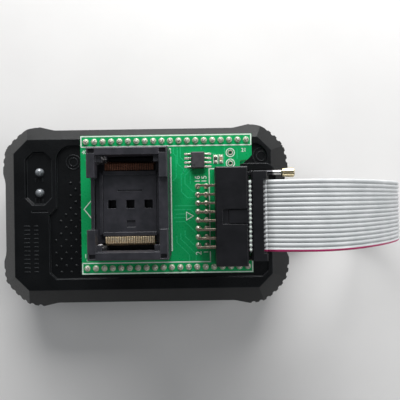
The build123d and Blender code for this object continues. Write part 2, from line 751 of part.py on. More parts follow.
def make_adapter_headers():
    dip_pins = pin_group(DIP_ROW, DIP_PIN, 25.4, LOWER_TOP + 0.7)
    dip_pins.part.label = "dip_pins"
    export_step(dip_pins.part, "parts/dip_pins.step")

    dip_strips = strip_pair(DIP_ROW, STRIP_BOTTOM, LOWER_BOARD_Z, DIP_PIN, DIP_PIN)
    dip_strips.part.label = "dip_strips"
    export_step(dip_strips.part, "parts/dip_strips.step")

    strip_top = LOWER_TOP + SOCKET_STRIP
    socket_strips = strip_pair(OUTER_ROW, LOWER_TOP, strip_top, 1.0, 1.4)
    socket_strips.part.label = "socket_strips"
    export_step(socket_strips.part, "parts/socket_strips.step")

    leaf = 0.2
    with BuildPart() as socket_contacts:
        with Locations(*socket_points(OUTER_ROW, 0)):
            with Locations((0, 0, LOWER_TOP - 0.7)):
                Box(0.5, 0.5, 3.4)
            with Locations((0, 0, LOWER_TOP + 1.0)):
                Box(0.8, HEADER_PIN + 2 * leaf, 0.6)
            for side in (-1, 1):
                with Locations((0, side * (HEADER_PIN + leaf) / 2, LOWER_TOP + 4.1)):
                    Box(0.8, leaf, 5.6)
    socket_contacts.part.label = "socket_contacts"
    export_step(socket_contacts.part, "parts/socket_contacts.step")

    header_strips = strip_pair(OUTER_ROW, strip_top, UPPER_BOARD_Z, HEADER_PIN, HEADER_PIN)
    header_strips.part.label = "header_strips"
    export_step(header_strips.part, "parts/header_strips.step")

    header_pins = pin_group(OUTER_ROW, HEADER_PIN, LOWER_TOP + 2.2, UPPER_TOP + 0.85)
    header_pins.part.label = "header_pins"
    export_step(header_pins.part, "parts/header_pins.step")

    # cones of solder round the header pins on the upper board
    with BuildPart() as solder_joints:
        with Locations(*socket_points(OUTER_ROW, UPPER_TOP + 0.35)):
            Cone(0.95, 0.6, 0.7)
        with Locations(*socket_points(OUTER_ROW, UPPER_TOP + 0.35)):
            Cylinder(0.47, 2, mode=Mode.SUBTRACT)
    solder_joints.part.label = "solder_joints"
    export_step(solder_joints.part, "parts/solder_joints.step")


def make_small_parts():
    chip_x, chip_y = SOCKET_X + 9.55, SOCKET_Y + 13.0
    with BuildPart() as supply_chip:
        block(
            (chip_x - 1.95, chip_x + 1.95),
            (chip_y - 2.45, chip_y + 2.45),
            (UPPER_TOP + 0.15, UPPER_TOP + 1.6),
        )
        chamfer(supply_chip.faces().sort_by(Axis.Z)[-1].edges(), 0.25)
        with Locations((chip_x - 1.2, chip_y - 1.7, UPPER_TOP + 1.6)):
            Cylinder(0.3, 0.2, mode=Mode.SUBTRACT)
    supply_chip.part.label = "supply_chip"
    export_step(supply_chip.part, "parts/supply_chip.step")

    with BuildPart() as supply_chip_leads:
        for side in (-1, 1):
            for i in range(4):
                y = chip_y + (i - 1.5) * 1.27
                inner, knee, tip = 1.95, 2.45, 3.1
                limits = sorted((chip_x + side * inner, chip_x + side * knee))
                block(limits, (y - 0.2, y + 0.2), (UPPER_TOP + 0.75, UPPER_TOP + 0.95))
                limits = sorted((chip_x + side * (knee - 0.2), chip_x + side * knee))
                block(limits, (y - 0.2, y + 0.2), (UPPER_TOP, UPPER_TOP + 0.95))
                limits = sorted((chip_x + side * (knee - 0.2), chip_x + side * tip))
                block(limits, (y - 0.2, y + 0.2), (UPPER_TOP, UPPER_TOP + 0.2))
    supply_chip_leads.part.label = "supply_chip_leads"
    export_step(supply_chip_leads.part, "parts/supply_chip_leads.step")

    y = SOCKET_Y + 13.3
    for name, x in (("chip_resistor", SOCKET_X + 14.9), ("chip_capacitor", SOCKET_X + 16.5)):
        with BuildPart() as chip:
            block((x - 0.4, x + 0.4), (y - 0.8, y + 0.8), (UPPER_TOP, UPPER_TOP + 0.5))
            chamfer(chip.edges().filter_by(Axis.Z), 0.06)
        chip.part.label = name
        export_step(chip.part, f"parts/{name}.step")


# ======================================================================================
# Flash chip socket, which opens when its cover is pressed down
# ======================================================================================

SPRING_POINTS = [(TSOP_X + x, TSOP_Y + y) for x in (-8.75, 8.75) for y in (-12.9, 12.9)]
SPRING_R = 1.15
SPRING_WIRE = 0.2
SPRING_LOW = UPPER_TOP + 2.2
SPRING_HIGH = UPPER_TOP + TSOP_HIGH - 1.65
SEAT_HOLES = [(TSOP_X + x, TSOP_Y - 0.2) for x in (-5.1, 0.1, 5.3)]
SEAT_HOLE = 2.4


def make_tsop_base():
    top = UPPER_TOP + 5.4
    with BuildPart() as tsop_base:
        block(
            (TSOP_X - TSOP_WIDE / 2, TSOP_X + TSOP_WIDE / 2),
            (TSOP_Y - TSOP_LONG / 2, TSOP_Y + TSOP_LONG / 2),
            (UPPER_TOP, UPPER_TOP + 1.8),
        )
        block((TSOP_X - 9.9, TSOP_X + 9.9), (TSOP_Y - 14.3, TSOP_Y + 14.3), (UPPER_TOP, top))
        # one trough for each row of contact fingers
        for side in (-1, 1):
            limits = sorted((TSOP_Y + side * 9.3, TSOP_Y + side * 13.5))
            block((TSOP_X - 7.3, TSOP_X + 7.3), limits, (UPPER_TOP + 0.5, top + 1), Mode.SUBTRACT)
        # wells for the return springs
        with Locations(*[(x, y, (SPRING_LOW + top + 1) / 2) for x, y in SPRING_POINTS]):
            Box(3.2, 3.2, top + 1 - SPRING_LOW, mode=Mode.SUBTRACT)
        # the ejection holes go on down below the seat
        with Locations(*[(x, y, top - 1.5) for x, y in SEAT_HOLES]):
            Box(SEAT_HOLE, SEAT_HOLE, 3.5, mode=Mode.SUBTRACT)
        # raised ribs beside the chip's seat
        for side in (-1, 1):
            limits = sorted((TSOP_X + side * 7.7, TSOP_X + side * 8.6))
            block(limits, (TSOP_Y - 8.8, TSOP_Y + 8.8), (top - 1, top + 1.0))
    tsop_base.part.label = "tsop_base"
    export_step(tsop_base.part, "parts/tsop_base.step")


def make_tsop_seat():
    low = UPPER_TOP + 5.4
    seat_x = 7.55
    with BuildPart() as tsop_seat:
        block((TSOP_X - seat_x, TSOP_X + seat_x), (TSOP_Y - 9.2, TSOP_Y + 9.2), (low, low + 0.9))
        # sills that locate the chip end to end
        for side in (-1, 1):
            limits = sorted((TSOP_Y + side * 8.2, TSOP_Y + side * 9.2))
            block((TSOP_X - seat_x, TSOP_X + seat_x), limits, (low, low + 1.3))
        # ejection holes, drain slot and vent
        with Locations(*[(x, y, low) for x, y in SEAT_HOLES]):
            Box(SEAT_HOLE, SEAT_HOLE, 4, mode=Mode.SUBTRACT)
        with Locations((TSOP_X, TSOP_Y + 3.7, low + 1)):
            Box(7.2, 0.35, 0.8, mode=Mode.SUBTRACT)
        with Locations((TSOP_X + 0.2, TSOP_Y - 5.8, low + 1)):
            Box(2.6, 2.0, 1.0, mode=Mode.SUBTRACT)
    tsop_seat.part.label = "tsop_seat"
    export_step(tsop_seat.part, "parts/tsop_seat.step")


def tsop_fingers(side):
    """One row of 28 gold fingers, each with a foot, a leg and a beak over the seat's end."""
    thick = 0.24
    with BuildPart() as fingers:
        with BuildSketch(Plane.YZ.offset(TSOP_X - thick / 2 - (FINGERS - 1) / 2 * FINGER_PITCH)):
            with Locations((TSOP_Y + side * FINGER_Y, FINGER_Z)):
                Circle(0.6)
            with BuildLine():
                Polyline(
                    (TSOP_Y + side * (FINGER_Y + 0.35), FINGER_Z),
                    (TSOP_Y + side * (FINGER_Y + 0.5), FINGER_Z + 3.6),
                    (TSOP_Y + side * (FINGER_Y - 0.3), FINGER_Z + 5.6),
                    (TSOP_Y + side * (FINGER_Y - 2.1), FINGER_Z + 5.9),
                    (TSOP_Y + side * (FINGER_Y - 2.2), FINGER_Z + 5.4),
                    (TSOP_Y + side * (FINGER_Y - 0.9), FINGER_Z + 5.0),
                    (TSOP_Y + side * (FINGER_Y - 0.3), FINGER_Z + 3.4),
                    (TSOP_Y + side * (FINGER_Y - 0.35), FINGER_Z),
                    close=True,
                )
            make_face()
        finger = extrude(amount=thick)
        with Locations(*[(i * FINGER_PITCH, 0, 0) for i in range(1, FINGERS)]):
            add(finger)
    return fingers


def make_tsop_contacts():
    for name, side in (("tsop_contacts_rear", 1), ("tsop_contacts_front", -1)):
        fingers = tsop_fingers(side)
        fingers.part.label = name
        export_step(fingers.part, f"parts/{name}.step")


def make_tsop_cover():
    low = UPPER_TOP + 4.5
    top = UPPER_TOP + TSOP_HIGH
    half_x, half_y = TSOP_WIDE / 2, TSOP_LONG / 2
    with BuildPart() as tsop_cover:
        block((TSOP_X - half_x, TSOP_X + half_x), (TSOP_Y - half_y, TSOP_Y + half_y), (low, top))
        chamfer(tsop_cover.edges().group_by(Axis.Z)[-1], 0.35)
        # room for the base below the top plate
        block(
            (TSOP_X - half_x + 1.0, TSOP_X + half_x - 1.0),
            (TSOP_Y - half_y + 1.0, TSOP_Y + half_y - 1.0),
            (low - 1, top - 1.6),
            Mode.SUBTRACT,
        )
        # the window that the chip goes through, with sloping ends
        with BuildSketch(Plane.XY.offset(top)):
            with Locations((TSOP_X, TSOP_Y)):
                Rectangle(17.7, 26.9)
        extrude(amount=-3, taper=12, mode=Mode.SUBTRACT)
        block(
            (TSOP_X - 8.2, TSOP_X + 8.2), (TSOP_Y - 12.2, TSOP_Y + 12.2), (low - 1, top + 1), Mode.SUBTRACT
        )
        # the left side is open in the middle, and the right side is stepped down
        for x, z in (
            ((TSOP_X - half_x - 1, TSOP_X - 7), (low + 1.6, top + 1)),
            ((TSOP_X + 7, TSOP_X + half_x + 1), (top - 1.0, top + 1)),
        ):
            block(x, (TSOP_Y - 7.2, TSOP_Y + 7.2), z, Mode.SUBTRACT)
        # corner plates that the springs push up against
        for side in (-1, 1):
            for end in (-1, 1):
                x = sorted((TSOP_X + side * 7.3, TSOP_X + side * 10.4))
                y = sorted((TSOP_Y + end * 11.5, TSOP_Y + end * 14.8))
                block(x, y, (top - 1.6, top - 0.8))
        # square corner holes over the springs' guide posts
        corner_holes = [(TSOP_X + x, TSOP_Y + y, top) for x in (-9.8, 9.8) for y in (-14.55, 14.55)]
        with Locations(*corner_holes):
            Box(1.9, 1.3, 1.6, mode=Mode.SUBTRACT)
    tsop_cover.part.label = "tsop_cover"
    export_step(tsop_cover.part, "parts/tsop_cover.step")


def make_tsop_springs():
    turns = 5
    helix_low = SPRING_LOW + SPRING_WIRE
    helix_high = SPRING_HIGH - SPRING_WIRE
    height = helix_high - helix_low
    with BuildPart() as spring:
        with BuildLine():
            Helix(height / turns, height, SPRING_R, center=(0, 0, helix_low))
        with BuildSketch(Plane.XZ):
            with Locations((SPRING_R, helix_low)):
                Circle(SPRING_WIRE)
        sweep(is_frenet=True)
    with BuildPart() as tsop_springs:
        with Locations(*SPRING_POINTS):
            add(spring.part)
    tsop_springs.part.label = "tsop_springs"
    export_step(tsop_springs.part, "parts/tsop_springs.step")


# ======================================================================================
# Box headers, their plugs, and the ribbon
# ======================================================================================

def header_grid(middle):
    """(y, z) of the sixteen contacts, about the middle height of the mating face."""
    return [
        (HEADER_Y + (i - 3.5) * PITCH, middle + row * PITCH / 2)
        for row in (-1, 1) for i in range(8)
    ]


def box_header(face, board_top):
    """Right-angled 2 x 8 box header on a board, open towards +X, with its key slot on top."""
    low, high = board_top, board_top + HEADER_HIGH
    middle = (low + high) / 2
    back = face - HEADER_DEEP
    floor = face - 7.4
    with BuildPart() as shroud:
        block((back, face), (HEADER_Y - HEADER_LONG / 2, HEADER_Y + HEADER_LONG / 2), (low, high))
        chamfer(shroud.faces().sort_by(Axis.Z)[-1].edges(), 0.3)
        block(
            (floor, face + 1),
            (HEADER_Y - CAVITY_LONG / 2, HEADER_Y + CAVITY_LONG / 2),
            (middle - CAVITY_HIGH / 2, middle + CAVITY_HIGH / 2),
            Mode.SUBTRACT,
        )
        # the key slot, and the shallow step that runs on behind it
        key_y = (HEADER_Y - 2.15, HEADER_Y + 2.15)
        block((face - KEY_DEEP, face + 1), key_y, (middle, high + 1), Mode.SUBTRACT)
        block((face - KEY_STEP, face + 1), key_y, (high - 0.4, high + 1), Mode.SUBTRACT)
        with Locations(*[(face - 8, y, z) for y, z in header_grid(middle)]):
            Box(4, HEADER_PIN, HEADER_PIN, mode=Mode.SUBTRACT)
    return shroud


def box_header_pins(face, board_top):
    """Sixteen bent pins: along X through the shroud, then down through the board."""
    half = HEADER_PIN / 2
    low = board_top - BOARD - 0.6
    with BuildPart() as pins:
        for row in (0, 1):
            leg_x = header_pin_x(face, row)
            z = board_top + HEADER_HIGH / 2 + (row - 0.5) * PITCH
            with BuildSketch(Plane.XZ.offset(-HEADER_Y + 3.5 * PITCH - half)):
                with BuildLine():
                    Polyline(
                        (leg_x - half, low), (leg_x + half, low), (leg_x + half, z - half),
                        (face - 1.4, z - half), (face - 1.4, z + half), (leg_x - half, z + half),
                        close=True,
                    )
                make_face()
            pin = extrude(amount=HEADER_PIN)
            with Locations(*[(0, i * PITCH, 0) for i in range(1, 8)]):
                add(pin)
    return pins


def make_headers():
    for name, face, board_top in (("adapter", ADAPTER_FACE, UPPER_TOP), ("isp", ISP_FACE, MAIN_TOP)):
        shroud = box_header(face, board_top)
        shroud.part.label = f"{name}_header_shroud"
        export_step(shroud.part, f"parts/{name}_header_shroud.step")
        pins = box_header_pins(face, board_top)
        pins.part.label = f"{name}_header_pins"
        export_step(pins.part, f"parts/{name}_header_pins.step")


def plug_body(face, z):
    """Socket half of a ribbon plug, inside the shroud, with its key on top."""
    half_y, half_z = PLUG_LONG / 2, PLUG_HIGH / 2
    key_high = z + half_z + 1.2
    with BuildPart() as body:
        block((face - 6.0, face + 0.3), (HEADER_Y - half_y, HEADER_Y + half_y), (z - half_z, z + half_z))
        with Locations(*[(face - 3, y, level) for y, level in header_grid(z)]):
            Box(8, 1.24, 1.3, mode=Mode.SUBTRACT)
        block((face - 5.3, face + 0.1), (HEADER_Y - 1.9, HEADER_Y + 1.9), (z + half_z - 0.1, key_high))
        # notches at the ends for the cap's hooks
        for side in (-1, 1):
            limits = sorted((HEADER_Y + side * (half_y - 1.0), HEADER_Y + side * (half_y + 1)))
            block((face - 2.2, face + 1), limits, (z - 1.6, z + 1.6), Mode.SUBTRACT)
    return body


def plug_contacts(face, z):
    """Sixteen forks, each of which takes a header pin between its two leaves."""
    leaf = 0.2
    root = (-1.1, 0.3)
    with BuildPart() as fork:
        block(root, (-0.52, 0.52), (-0.4, 0.4))
        for side in (-1, 1):
            inner, outer = side * HEADER_PIN / 2, side * (HEADER_PIN / 2 + leaf)
            block((-5.3, root[0]), sorted((inner, outer)), (-0.4, 0.4))
    with BuildPart() as contacts:
        with Locations(*[(face, y, level) for y, level in header_grid(z)]):
            add(fork.part)
    return contacts


def plug_cap(face, z, up):
    """The bar that presses the ribbon on, with a hook at each end."""
    half_y = PLUG_LONG / 2
    limits_z = sorted((z - up * 3.1, z + up * 3.1))
    with BuildPart() as cap:
        block((face + 1.2, face + 3.5), (HEADER_Y - half_y, HEADER_Y + half_y), limits_z)
        for side in (-1, 1):
            limits = sorted((HEADER_Y + side * (half_y - 1.0), HEADER_Y + side * half_y))
            block((face - 2.2, face + 1.3), limits, (z - 1.6, z + 1.6))
        chamfer(cap.edges().filter_by(Axis.Y).group_by(Axis.X)[-1], 0.4)
    return cap


def plug_clamp(face, z, up):
    """The strain relief: a loop round the folded ribbon, with a roof that reaches over the cap."""
    half_y = PLUG_LONG / 2
    back, front = face + 3.5, face + 5.5
    lip, eave = face + 1.5, face + 4.35     # edges of the roof
    inner, outer = z - up * 2.9, z + up * 4.15
    rear_top = z + up * 1.4         # bar behind the fold
    roof_bottom = z + up * 3.4      # bar over the ribbon as it leaves
    with BuildPart() as clamp:
        block((face + 4.4, front), (HEADER_Y - half_y, HEADER_Y + half_y), sorted((inner, rear_top)))
        block((lip, eave), (HEADER_Y - half_y, HEADER_Y + half_y), sorted((roof_bottom, outer)))
        for side in (-1, 1):
            limits = sorted((HEADER_Y + side * (half_y - 2.2), HEADER_Y + side * half_y))
            block((back, front), limits, sorted((inner, outer)))
        fillet(clamp.edges().filter_by(Axis.Y).group_by(Axis.X)[-1], 0.3)
    return clamp


def ribbon_fold(face, z, up, end):
    """The crimped end of the ribbon: through the plug, round the cap, and out along +X."""
    with BuildPart() as fold:
        with BuildLine() as path:
            FilletPolyline(
                (face + 0.75, HEADER_Y, z + up * 3.5),
                (face + 0.75, HEADER_Y, z - up * 3.65),
                (face + 3.95, HEADER_Y, z - up * 3.65),
                (face + 3.95, HEADER_Y, z + up * 2.35),
                (face + end[0], HEADER_Y, z + up * end[1]),
                radius=0.5,
            )
        with BuildSketch(Plane(path.line @ 0, x_dir=(0, 1, 0), z_dir=path.line % 0)):
            Rectangle(RIBBON_WIDE, RIBBON_THICK)
        sweep()
    return fold


def make_plugs():
    for name, face, z, up, end in (
        ("adapter", ADAPTER_FACE, ADAPTER_PLUG_Z, 1, FOLD_END),
        ("isp", ISP_FACE, ISP_PLUG_Z, -1, FOLD_END_LOW),
    ):
        pieces = {
            "plug_body": plug_body(face, z),
            "plug_contacts": plug_contacts(face, z),
            "plug_cap": plug_cap(face, z, up),
            "plug_clamp": plug_clamp(face, z, up),
            "ribbon_fold": ribbon_fold(face, z, up, end),
        }
        for piece, builder in pieces.items():
            builder.part.label = f"{name}_{piece}"
            export_step(builder.part, f"parts/{name}_{piece}.step")


# The ribbon's loop, as (x, z) points from the adapter's plug round to the ISP plug
RIBBON_ROUTE = [
    (ADAPTER_FACE + FOLD_END[0], ADAPTER_PLUG_Z + FOLD_END[1]),
    (50.4, 59.77),
    (61.4, 57.4),
    (71.4, 50.8),
    (80.8, 42.4),
    (90.6, 30.2),
    (94.2, 15.4),
    (89.4, 4.8),
    (78.2, 1.2),
    (66.0, 2.8),
    (ISP_FACE + FOLD_END_LOW[0], ISP_PLUG_Z - FOLD_END_LOW[1]),
]


def route_radii(points):
    """Arc radius at each inner point: 0.45 of the shorter run over tan of half the turn."""
    radii = []
    for a, b, c in zip(points, points[1:], points[2:]):
        into = Vector(b[0] - a[0], b[1] - a[1])
        out = Vector(c[0] - b[0], c[1] - b[1])
        turn = radians(into.get_angle(out))
        radii.append(0.45 * min(into.length, out.length) / tan(turn / 2))
    return radii


def make_ribbon_cable():
    radii = route_radii(RIBBON_ROUTE)
    print("ribbon radii", [round(r, 1) for r in radii])
    with BuildPart() as ribbon_cable:
        with BuildLine() as path:
            FilletPolyline(*[(x, HEADER_Y, z) for x, z in RIBBON_ROUTE], radius=radii)
        with BuildSketch(Plane(path.line @ 0, x_dir=(0, 1, 0), z_dir=path.line % 0)):
            Rectangle(RIBBON_WIDE, RIBBON_THICK)
        sweep()
    length = path.wires()[0].length
    section = RIBBON_WIDE * RIBBON_THICK
    ratio = ribbon_cable.part.volume / (section * length)
    print("ribbon length", round(length, 2), "volume ratio", round(ratio, 4))
    ribbon_cable.part.label = "ribbon_cable"
    export_step(ribbon_cable.part, "parts/ribbon_cable.step")


make_bottom_shell()
make_top_shell()
make_case_screws()
make_rubber_feet()
make_main_board()
make_board_parts()
make_usb_receptacle()
make_board_link()
make_zif_board()
make_leds()
make_zif_base()
make_zif_contacts()
make_zif_cover()
make_zif_lever()
make_adapter_boards()
make_adapter_headers()
make_small_parts()
make_tsop_base()
make_tsop_seat()
make_tsop_contacts()
make_tsop_cover()
make_tsop_springs()
make_headers()
make_plugs()
make_ribbon_cable()
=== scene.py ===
import json
import math

import bmesh
import bpy
from mathutils import Matrix, Vector


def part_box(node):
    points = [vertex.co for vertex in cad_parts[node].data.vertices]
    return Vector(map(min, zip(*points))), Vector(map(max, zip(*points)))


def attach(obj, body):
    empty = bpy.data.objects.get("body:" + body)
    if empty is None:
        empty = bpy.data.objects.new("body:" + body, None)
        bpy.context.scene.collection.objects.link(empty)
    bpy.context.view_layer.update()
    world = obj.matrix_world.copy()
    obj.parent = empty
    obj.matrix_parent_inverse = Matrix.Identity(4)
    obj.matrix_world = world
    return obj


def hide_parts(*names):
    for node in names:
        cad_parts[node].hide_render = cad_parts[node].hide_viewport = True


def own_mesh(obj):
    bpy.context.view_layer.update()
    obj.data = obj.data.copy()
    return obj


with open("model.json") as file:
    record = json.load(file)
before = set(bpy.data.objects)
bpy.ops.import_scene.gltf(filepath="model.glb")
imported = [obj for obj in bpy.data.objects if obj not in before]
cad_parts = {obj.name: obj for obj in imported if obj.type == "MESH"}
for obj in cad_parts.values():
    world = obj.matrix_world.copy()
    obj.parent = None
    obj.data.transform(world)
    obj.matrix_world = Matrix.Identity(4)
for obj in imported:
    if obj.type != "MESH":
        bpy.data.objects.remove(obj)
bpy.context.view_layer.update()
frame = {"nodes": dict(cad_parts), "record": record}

# USB programmer with a flash adapter in its lever socket and a ribbon jumper back to its own port.
# Metres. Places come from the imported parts. The ribbon's route, the housing's relief and the drawings
# on the board are given in millimetres, which MM turns into metres.
MM = 0.001
ROOT = "programmer"
NODES = frame["nodes"]


# ---- camera ----------------------------------------------------------------------------------

def make_camera():
    """Straight down from 170 mm above the surface, over the adapter."""
    data = bpy.data.cameras.new("camera")
    data.lens = 36
    data.sensor_width = 36
    data.clip_start = 0.005
    camera = bpy.data.objects.new("camera", data)
    camera.location = Vector((20.79, 5.06, 170.28)) * MM
    camera.rotation_euler = [math.radians(angle) for angle in (0.19, 0.08, -0.89)]
    bpy.context.scene.collection.objects.link(camera)
    bpy.context.scene.camera = camera


# ---- materials -------------------------------------------------------------------------------

ROUGH_SPAN = 0.08       # how far the grain moves the roughness each way
BUMP_DEPTH = 0.3        # height of the grain, as a share of its width


class Surface:
    """A procedural material: mottled colour, a fine grain in roughness and bump, and lighter edges that
    are partly wear and partly a painted highlight.

    Sizes (grain, mottling and edge_r, the width of the softened edges) are in millimetres.
    """

    def __init__(self, name, colour, second, rough, grain=0.4, bump=0.15, **more):
        self.material = bpy.data.materials.new(name)
        self.material.use_nodes = True
        self.tree = self.material.node_tree
        self.shader = self.tree.nodes["Principled BSDF"]
        self.coords = self.node("ShaderNodeTexCoord").outputs["Object"]
        self.shader.inputs["Metallic"].default_value = more.get("metallic", 0.0)
        self.shader.inputs["Coat Weight"].default_value = more.get("coat", 0.0)
        self.shader.inputs["Coat Roughness"].default_value = more.get("coat_rough", 0.1)
        self.shader.inputs["Specular IOR Level"].default_value = more.get("specular", 0.5)
        mottle = self.noise(more.get("mottling", 5.0), detail=5)
        self.colour = self.mix(self.spread(mottle, 0.35, 0.65), colour, second)
        fine = self.noise(grain, detail=3)
        duller, glossier = rough + ROUGH_SPAN, rough - ROUGH_SPAN
        self.link(self.spread(fine, 0.3, 0.7, glossier, duller), "Roughness")
        bevel = self.node("ShaderNodeBevel")
        bevel.samples = 4
        bevel.inputs["Radius"].default_value = more.get("edge_r", 0.2) * MM
        # edge colour: lightens the edges, partly as wear and partly as a painted highlight where the
        # rims catch the light
        if "edge" in more:
            facing = self.node("ShaderNodeVectorMath", operation="DOT_PRODUCT")
            normal = self.node("ShaderNodeNewGeometry").outputs["Normal"]
            self.tree.links.new(bevel.outputs["Normal"], facing.inputs[0])
            self.tree.links.new(normal, facing.inputs[1])
            edge_wear_and_highlight = self.spread(facing.outputs["Value"], 0.99, 0.8, 0.0, more.get("wear_and_highlight", 0.7))
            self.colour = self.mix(edge_wear_and_highlight, self.colour, more["edge"])
        bumps = self.node("ShaderNodeBump")
        bumps.inputs["Strength"].default_value = bump
        bumps.inputs["Distance"].default_value = BUMP_DEPTH * grain * MM
        self.tree.links.new(fine, bumps.inputs["Height"])
        self.tree.links.new(bevel.outputs["Normal"], bumps.inputs["Normal"])
        self.link(bumps.outputs["Normal"], "Normal")
        self.link(self.colour, "Base Color")

    def node(self, kind, **settings):
        made = self.tree.nodes.new(kind)
        for key, value in settings.items():
            setattr(made, key, value)
        return made

    def link(self, output, socket):
        self.tree.links.new(output, self.shader.inputs[socket])

    def noise(self, size, detail=2):
        """Noise whose patches are about size millimetres across."""
        made = self.node("ShaderNodeTexNoise")
        made.inputs["Scale"].default_value = 1 / (size * MM)
        made.inputs["Detail"].default_value = detail
        self.tree.links.new(self.coords, made.inputs["Vector"])
        return made.outputs["Fac"]

    def spread(self, value, low, high, to_low=0.0, to_high=1.0):
        """Maps the range low to high onto to_low to to_high."""
        made = self.node("ShaderNodeMapRange")
        self.tree.links.new(value, made.inputs["Value"])
        limits = (("From Min", low), ("From Max", high), ("To Min", to_low), ("To Max", to_high))
        for socket, number in limits:
            made.inputs[socket].default_value = number
        return made.outputs["Result"]

    def mix(self, factor, first, second):
        """Blends two colours, each given as three numbers or as a socket."""
        made = self.node("ShaderNodeMix", data_type="RGBA")
        self.tree.links.new(factor, made.inputs["Factor"])
        colour_a, colour_b = made.inputs[6], made.inputs[7]
        for socket, colour in ((colour_a, first), (colour_b, second)):
            if isinstance(colour, tuple):
                socket.default_value = (*colour, 1)
            else:
                self.tree.links.new(colour, socket)
        return made.outputs[2]

    def tint(self, factor, colour):
        """Lays one more colour over the surface."""
        self.colour = self.mix(factor, self.colour, colour)
        self.link(self.colour, "Base Color")

    def axis(self, name, vector=None):
        """One axis of a vector, or of the place on the object."""
        split = self.node("ShaderNodeSeparateXYZ")
        self.tree.links.new(vector or self.coords, split.inputs[0])
        return split.outputs[name]


# an edge colour in the other settings lightens a material's edges: partly wear, partly a painted
# highlight
# name: (colour, second colour, roughness, other settings)
SURFACES = {
    # near-black moulded plastic with a spark-eroded grain, its lighter edges partly rubbed wear and
    # partly a painted highlight
    "housing": ((0.0022, 0.0026, 0.003), (0.0045, 0.005, 0.0056), 0.34,
                dict(grain=0.35, bump=0.22, edge=(0.06, 0.065, 0.07), edge_r=0.45, wear_and_highlight=0.7,
                     mottling=9, specular=0.26)),
    "gold": ((0.83, 0.56, 0.25), (0.70, 0.42, 0.17), 0.28,
             dict(grain=0.15, bump=0.08, metallic=1.0, mottling=1.2, edge_r=0.05)),
    "tinned_pin": ((0.52, 0.44, 0.36), (0.36, 0.28, 0.20), 0.30,
                   dict(grain=0.2, metallic=1.0, mottling=0.8, edge_r=0.08)),
    # grey PVC insulation, slightly dusty
    "ribbon_grey": ((0.56, 0.575, 0.58), (0.48, 0.50, 0.505), 0.42,
                    dict(grain=0.5, bump=0.06, mottling=6, edge_r=0.05)),
    "stripe": ((0.55, 0.006, 0.14), (0.42, 0.004, 0.10), 0.45, dict(mottling=4, edge_r=0.05)),
    "rubber": ((0.018, 0.018, 0.018), (0.03, 0.03, 0.029), 0.75,
               dict(grain=0.5, bump=0.3, mottling=2, specular=0.3)),
    "dark_steel": ((0.20, 0.20, 0.21), (0.28, 0.27, 0.27), 0.35,
                   dict(grain=0.2, metallic=1.0, mottling=1.5, edge=(0.5, 0.5, 0.5), edge_r=0.1)),
    "bright_steel": ((0.72, 0.71, 0.68), (0.55, 0.54, 0.52), 0.22,
                     dict(grain=0.3, metallic=1.0, mottling=2.5, edge_r=0.06)),
    "chip_black": ((0.030, 0.029, 0.033), (0.045, 0.043, 0.048), 0.55,
                   dict(grain=0.12, bump=0.35, mottling=1.5, edge_r=0.08,
                        edge=(0.09, 0.09, 0.095))),
    "ferrite": ((0.05, 0.05, 0.052), (0.09, 0.09, 0.09), 0.6,
                dict(grain=0.3, bump=0.4, mottling=1.0)),
    "aluminium_can": ((0.72, 0.73, 0.75), (0.60, 0.61, 0.63), 0.3,
                      dict(grain=0.2, metallic=1.0, mottling=3)),
    "white_plastic": ((0.76, 0.76, 0.72), (0.68, 0.67, 0.63), 0.45, dict(mottling=4)),
    "black_plastic": ((0.004, 0.0042, 0.0055), (0.008, 0.008, 0.010), 0.40,
                      dict(grain=0.25, bump=0.2, mottling=4, specular=0.35,
                           edge=(0.055, 0.057, 0.065), edge_r=0.15, wear_and_highlight=0.6)),
    "zif_plastic": ((0.006, 0.006, 0.006), (0.010, 0.010, 0.010), 0.45,
                    dict(grain=0.3, bump=0.2, mottling=5, edge=(0.06, 0.06, 0.06), edge_r=0.15)),
    "socket_plastic": ((0.016, 0.0165, 0.021), (0.030, 0.029, 0.036), 0.42,
                       dict(grain=0.3, bump=0.3, mottling=2.5, edge=(0.13, 0.135, 0.15),
                            edge_r=0.15, wear_and_highlight=0.65)),
    "led_lens": ((0.22, 0.235, 0.25), (0.13, 0.14, 0.15), 0.10,
                 dict(grain=0.6, bump=0.02, mottling=1.5, coat=1.0, coat_rough=0.04)),
    "brass_knob": ((0.86, 0.76, 0.52), (0.74, 0.62, 0.38), 0.22,
                   dict(grain=0.25, metallic=1.0, mottling=1.5, edge=(0.95, 0.92, 0.85),
                        edge_r=0.15)),
    "solder": ((0.90, 0.87, 0.78), (0.74, 0.69, 0.58), 0.22,
               dict(grain=0.4, bump=0.25, metallic=0.55, mottling=0.6, edge_r=0.2)),
    "ceramic_dark": ((0.03, 0.03, 0.03), (0.06, 0.06, 0.06), 0.4, dict(grain=0.15, mottling=0.5)),
    "ceramic_tan": ((0.36, 0.24, 0.14), (0.44, 0.32, 0.20), 0.45, dict(grain=0.15, mottling=0.5)),
    # white ink of the printed lines and numbers
    "silk": ((0.78, 0.84, 0.78), (0.62, 0.74, 0.64), 0.6,
             dict(grain=0.2, bump=0.2, mottling=0.9, edge_r=0.02)),
    # green mask where a copper track lifts it
    "trace": ((0.012, 0.52, 0.20), (0.008, 0.44, 0.16), 0.30,
              dict(grain=0.5, bump=0.05, mottling=4, coat=0.4, edge_r=0.02)),
}


def make_surface(name, colour, second, rough, more):
    return Surface(name, colour, second, rough, **more).material


